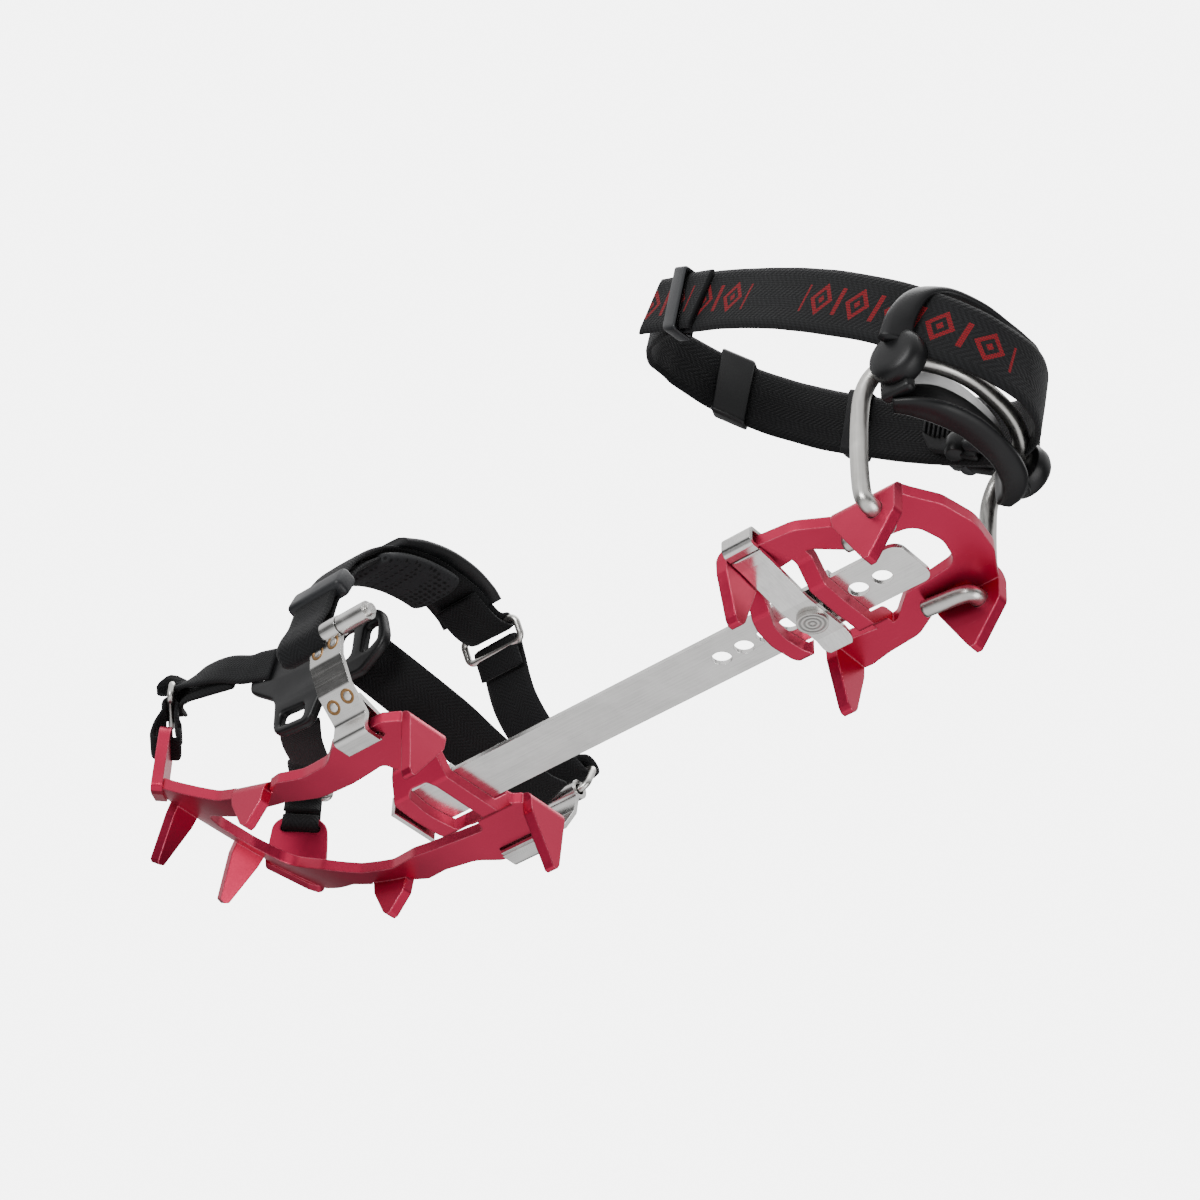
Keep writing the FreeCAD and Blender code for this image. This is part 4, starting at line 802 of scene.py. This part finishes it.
def padded_pad():
    """Moulded instep pad, a soft crowned strip bent over the webbing's inner side."""
    A = [Vector(q) for q in ((HX, -38.5, 96.6), (HX, -28.5, 103.2), (HX, -18.5, 107.4), (HX, -8.0, 109.6), (HX, 1.0, 109.9))]
    c = spline(A, 8)
    N = len(c)
    bm = bmesh.new()
    rows = []
    K = 12
    for i in range(N):
        a, b = c[max(0, i - 1)], c[min(N - 1, i + 1)]
        t = (b - a).normalized()
        nn = Vector((1, 0, 0)).cross(t).normalized()
        f = i / (N - 1)
        tip = min(1.0, 0.35 + 3.2 * min(f, 1 - f) ** 0.6)
        rows.append([])
        for j in range(2 * K):
            g = 2 * math.pi * j / (2 * K)
            cx, sx = math.cos(g), math.sin(g)
            px = math.copysign(abs(cx) ** 0.45, cx) * 11.6 * tip
            pz = math.copysign(abs(sx) ** 0.7, sx) * 2.5 * min(1.0, tip * 1.1)
            rows[-1].append(bm.verts.new(c[i] + Vector((px, 0, 0)) + nn * pz))
    for i in range(N - 1):
        for j in range(2 * K):
            bm.faces.new([rows[i][j], rows[i + 1][j], rows[i + 1][(j + 1) % (2 * K)], rows[i][(j + 1) % (2 * K)]])
    bm.faces.new(list(reversed(rows[0])))
    bm.faces.new(rows[-1])
    for v in bm.verts:
        v.co = P(*v.co)
    bmesh.ops.recalc_face_normals(bm, faces=bm.faces)
    me = bpy.data.meshes.new("instep_soft_pad")
    bm.to_mesh(me)
    bm.free()
    o = finish_mesh("instep_soft_pad", me, M_MESH, TOE)
    s = o.modifiers.new("Sub", "SUBSURF")
    s.levels = s.render_levels = 1
    return apply_mods(o)


ribbon("instep_top_pad", [(HX - 1, -30.0, 110.0), (HX - 0.5, -20, 114.9), (HX, -8, 118.0), (HX, 4, 118.4), (HX, 13, 115.8), (HX, 17.5, 112.6)], X1, 27.0, 3.4, M_RUBBER, TOE, n=8, flip=-1, wav=0.2, seed=13, cup=-0.9)
pad = padded_pad()
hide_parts("instep_pad")

fs = ribbon("far_webbing", [(HX, 33.8, 96.0), (HX, 30.6, 101.6), (HX, 29.0, 105.6), (HX, 31.8, 105.8), (HX, 34.4, 100.4), (HX + 1, 40.2, 85.5), (HX + 4, 50.6, 72.0), (LX - 2, 58.6, 65.6), (LX, 62.6, 64.7), (LX, 64.9, 62.2), (LX, 63.2, 59.8), (LX - 2, 58.8, 61.6), (HX + 5, 51.5, 67.6)],
            X1, tw, 1.8, M_WEB, TOE, n=8, flip=-1, wav=0.3, seed=21)
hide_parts("far_strap")
cr = ribbon("cross_webbing", [(-101, -25.4, 70.5), (-97, -21.0, 65.5), (-92, -12, 59), (-88.5, 4, 53.4), (-88.5, 25, 49.5), (-88, 43, 47.5), (-86, 53, 48.6)], [(0.62, 0.0, 0.78), (0.72, 0.06, 0.68), (0.80, 0.10, 0.57), (0.80, 0.10, 0.57), (0.84, 0.10, 0.50), (0.92, 0.05, 0.35), (0.98, 0, 0.15)], tw, 1.9, M_WEB, TOE, n=8, wav=0.4, seed=31)
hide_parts("cross_strap")

hub = plate("harness_connector",
            [(-152, 76, 5), (-151, 91, 6), (-137, 90, 5), (-126, 82, 5), (-113, 88, 6), (-88, 82, 9), (-84, 66, 8), (-96, 58, 6), (-114, 60, 8), (-119, 48, 5), (-137, 50, 6), (-138, 66, 8)],
            (0, -28.4, 0), (1, 0, 0), (0, 0, 1), (0, -1, 0), 3.8, M_PLASTIC, TOE,
            holes=[[(-148.5, 79.5, 1.5), (-147.5, 86.5, 1.5), (-142.8, 86.2, 1.5), (-143.5, 77.8, 1.5)],
                   [(-134.0, 53.0, 1.5), (-133.6, 58.5, 1.5), (-122.2, 57.2, 1.5), (-122.4, 51.8, 1.5)],
                   [(-96.0, 64.5, 2), (-95, 77, 2), (-89.5, 76.5, 2), (-89.2, 68.5, 2)],
                   [(-110, 68, 3), (-108, 80.5, 3), (-101, 79.5, 3), (-101.5, 66.5, 3)]], edge=1.3)
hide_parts("harness_hub")


def toe_z(x):
    d = max(0.0, -95.0 - x)
    return 20.5 + 170.0 - math.sqrt(170.0 ** 2 - d * d)


pal = Vector((16, 15.5, 0)).normalized()
pn = Vector((-pal.y, pal.x, 0))
pc = Vector((-191.0, 31.75, toe_z(-191.0) - 2.0))
rc = pc + pn * 2.0 + Vector((0, 0, 39.4))
for s, nm in ((1, "far"), (-1, "near")):
    def M(q):
        return Vector((q.x, q.y * s, q.z))
    # webbing through the post's slot and round the ring's lower bar
    zr = rc.z - 1.9
    lp = [pc + pn * -2.2 + Vector((0, 0, 26.5)), pc + pn * -2.4 + Vector((0, 0, 22.3)), pc + pn * 2.0 + Vector((0, 0, 22.3)), pc + pn * 6.4 + Vector((0, 0, 22.3)), pc + pn * 6.4 + Vector((0, 0, 28.0)),
          pc + pn * 4.2 + Vector((0, 0, 34.5)), Vector((rc.x, rc.y, zr)) + pn * 2.3 + Vector((0, 0, 0.6)), Vector((rc.x, rc.y, zr)) + Vector((0, 0, 2.4)), Vector((rc.x, rc.y, zr)) - pn * 2.3, pc + pn * -0.6 + Vector((0, 0, 33.0)), pc + pn * -2.4 + Vector((0, 0, 28.6))]
    lo = ribbon("post_webbing_" + nm, [M(q) for q in lp], M(pal), 13.2, 1.6, M_WEB, TOE, n=6, wav=0.15, seed=40 + s)
    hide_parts(nm + "_post_loop")

top = Vector((rc.x, rc.y, rc.z + 5.0))
fb = ribbon("front_webbing_far", [top + Vector((6, -8, -4.6)), top + Vector((2.2, -2.6, -3.0)), top + Vector((-1.8, 0.8, -1.2)), top + Vector((-1.0, 1.0, 2.2)), top + Vector((2.6, -1.4, 1.4)), top + Vector((18, -16, -9.0)), (-158, 4, 70.5), (-142, -14, 60.5), (-131, -25.4, 56.6)],
            [pal, pal, pal, pal, pal, (0.72, 0.69, 0), (0.74, 0.66, 0), (0.78, 0.6, 0.1), (0.9, 0.35, 0.2)], 14.0, 1.8, M_WEB, TOE, n=7, wav=0.35, seed=51)
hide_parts("far_front_strap")
tn = Vector((rc.x, -rc.y, rc.z + 5.0))
nb = ribbon("front_webbing_near", [(-139.5, -32.6, 82.4), (-147.6, -32.6, 85.0), (-153.5, -33.0, 86.5), (-164, -34.2, 91.0), (-176, -34.8, 93.6), (-186, -34.6, 94.2), (tn.x + 2.6, tn.y - 1.2, tn.z + 1.4), (tn.x - 1.2, tn.y - 0.6, tn.z + 1.4), (tn.x + 0.4, tn.y + 0.6, tn.z - 2.4), (-184, -32.6, 90.0), (-172, -32.8, 89.4), (-160, -32.4, 88.0)],
            [(0.3, 0, 0.95), (0.3, 0, 0.95), (0.3, 0.1, 0.95), (0.2, 0.2, 0.95), (0.1, 0.4, 0.9), (0.1, 0.7, 0.7), (0.6, -0.6, 0.3), (0.7, -0.7, 0), (0.7, -0.7, 0), (0.3, 0.4, 0.8), (0.2, 0.2, 0.95), (0.3, 0, 0.95)], 12.0, 1.8, M_WEB, TOE, n=7, wav=0.3, seed=61)
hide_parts("near_front_strap")

# ------------------------------------------------------ stage and light
flo = bmesh.new()
for x, y in ((-6, -6), (6, -6), (6, 6), (-6, 6)):
    flo.verts.new((x, y, -0.0006))
flo.faces.new(flo.verts)
fm = bpy.data.meshes.new("floor")
flo.to_mesh(fm)
flo.free()
floor = bpy.data.objects.new("floor", fm)
bpy.context.scene.collection.objects.link(floor)
kf = bpy.data.materials.new("floor_mat")
kf.use_nodes = True
t = kf.node_tree
t.nodes.clear()
fo = t.nodes.new("ShaderNodeOutputMaterial")
fd = t.nodes.new("ShaderNodeBsdfDiffuse")
fd.inputs[0].default_value = (0.86, 0.86, 0.86, 1)
ft = t.nodes.new("ShaderNodeBsdfTransparent")
fg = t.nodes.new("ShaderNodeNewGeometry")
fx = t.nodes.new("ShaderNodeMixShader")
t.links.new(fg.outputs["Backfacing"], fx.inputs[0])
t.links.new(fd.outputs[0], fx.inputs[1])
t.links.new(ft.outputs[0], fx.inputs[2])
t.links.new(fx.outputs[0], fo.inputs[0])
fm.materials.append(kf)
floor.visible_shadow = False
floor.visible_glossy = False
floor.visible_diffuse = False

w = bpy.data.worlds.new("studio")
bpy.context.scene.world = w
w.use_nodes = True
wt = w.node_tree
wt.nodes.clear()
wo = wt.nodes.new("ShaderNodeOutputWorld")
b1 = wt.nodes.new("ShaderNodeBackground")
b2 = wt.nodes.new("ShaderNodeBackground")
b2.inputs[0].default_value = (1, 1, 1, 1)
b2.inputs[1].default_value = 6.0
lpn = wt.nodes.new("ShaderNodeLightPath")
mx = wt.nodes.new("ShaderNodeMixShader")
# soft studio surround: bright overhead and low front, dim bands between
tc = wt.nodes.new("ShaderNodeTexCoord")
sp = wt.nodes.new("ShaderNodeSeparateXYZ")
wt.links.new(tc.outputs["Generated"], sp.inputs[0])
rp = wt.nodes.new("ShaderNodeValToRGB")
cr_ = rp.color_ramp
cr_.elements[0].position = 0.0
cr_.elements[0].color = (0.80, 0.80, 0.82, 1)
cr_.elements[1].position = 1.0
cr_.elements[1].color = (1.0, 1.0, 1.0, 1)
for pos, val in ((0.14, 0.95), (0.26, 0.50), (0.36, 0.10), (0.50, 0.04), (0.60, 0.16), (0.74, 0.80)):
    el = cr_.elements.new(pos)
    el.color = (val, val, val * 1.01, 1)
mr = wt.nodes.new("ShaderNodeMapRange")
mr.inputs[1].default_value = -1
mr.inputs[2].default_value = 1
wt.links.new(sp.outputs[2], mr.inputs[0])
wt.links.new(mr.outputs[0], rp.inputs[0])
wt.links.new(rp.outputs[0], b1.inputs[0])
b1.inputs[1].default_value = 1.35
wt.links.new(lpn.outputs["Is Camera Ray"], mx.inputs[0])
wt.links.new(b1.outputs[0], mx.inputs[1])
wt.links.new(b2.outputs[0], mx.inputs[2])
wt.links.new(mx.outputs[0], wo.inputs[0])


def area(name, loc, target, size, power):
    l = bpy.data.lights.new(name, "AREA")
    l.shape = "RECTANGLE"
    l.size, l.size_y = size
    l.energy = power
    o = bpy.data.objects.new(name, l)
    o.location = loc
    d = Vector(target) - Vector(loc)
    o.rotation_euler = d.to_track_quat("-Z", "Y").to_euler()
    bpy.context.scene.collection.objects.link(o)
    return o


# calibrated view: azimuth 42.3, elevation -39.4, roll 1.9 degrees
az, el, roll = math.radians(42.3), math.radians(-39.4), math.radians(1.9)
back = Vector((math.sin(az) * math.cos(el), -math.cos(az) * math.cos(el), math.sin(el)))
right = Vector((math.cos(az), math.sin(az), 0))
up = back.cross(right)
Rv = right * math.cos(roll) + up * math.sin(roll)
Uv = -right * math.sin(roll) + up * math.cos(roll)
ax_, ay_ = (637.7 - 600) / 3.23, -(746.9 - 600) / 3.23
C = Rv * (-ax_) - Uv * ay_ + back * 900.2
cam = bpy.data.cameras.new("view")
cam.sensor_width = 36.0
cam.lens = 36.0 * 3.23 * 900.2 / 1200.0
cam.clip_start = 0.01
cam.clip_end = 50
co = bpy.data.objects.new("view", cam)
bpy.context.scene.collection.objects.link(co)
pos = P(*C)
co.matrix_world = Matrix(((Rv.x, Uv.x, back.x, pos.x), (Rv.y, Uv.y, back.y, pos.y), (Rv.z, Uv.z, back.z, pos.z), (0, 0, 0, 1)))
bpy.context.scene.camera = co

mid = Vector((0, 0, 0.06))
area("key", mid + (back * 0.9 + Uv * 0.9 - Rv * 0.7) * 0.9, mid, (0.7, 0.5), 16)
area("fill", mid + (back * 1.0 - Uv * 0.2 + Rv * 1.0) * 0.9, mid, (0.6, 0.9), 7)
area("top", mid + Vector((0.1, 0.2, 1.0)), mid, (0.9, 0.9), 9)
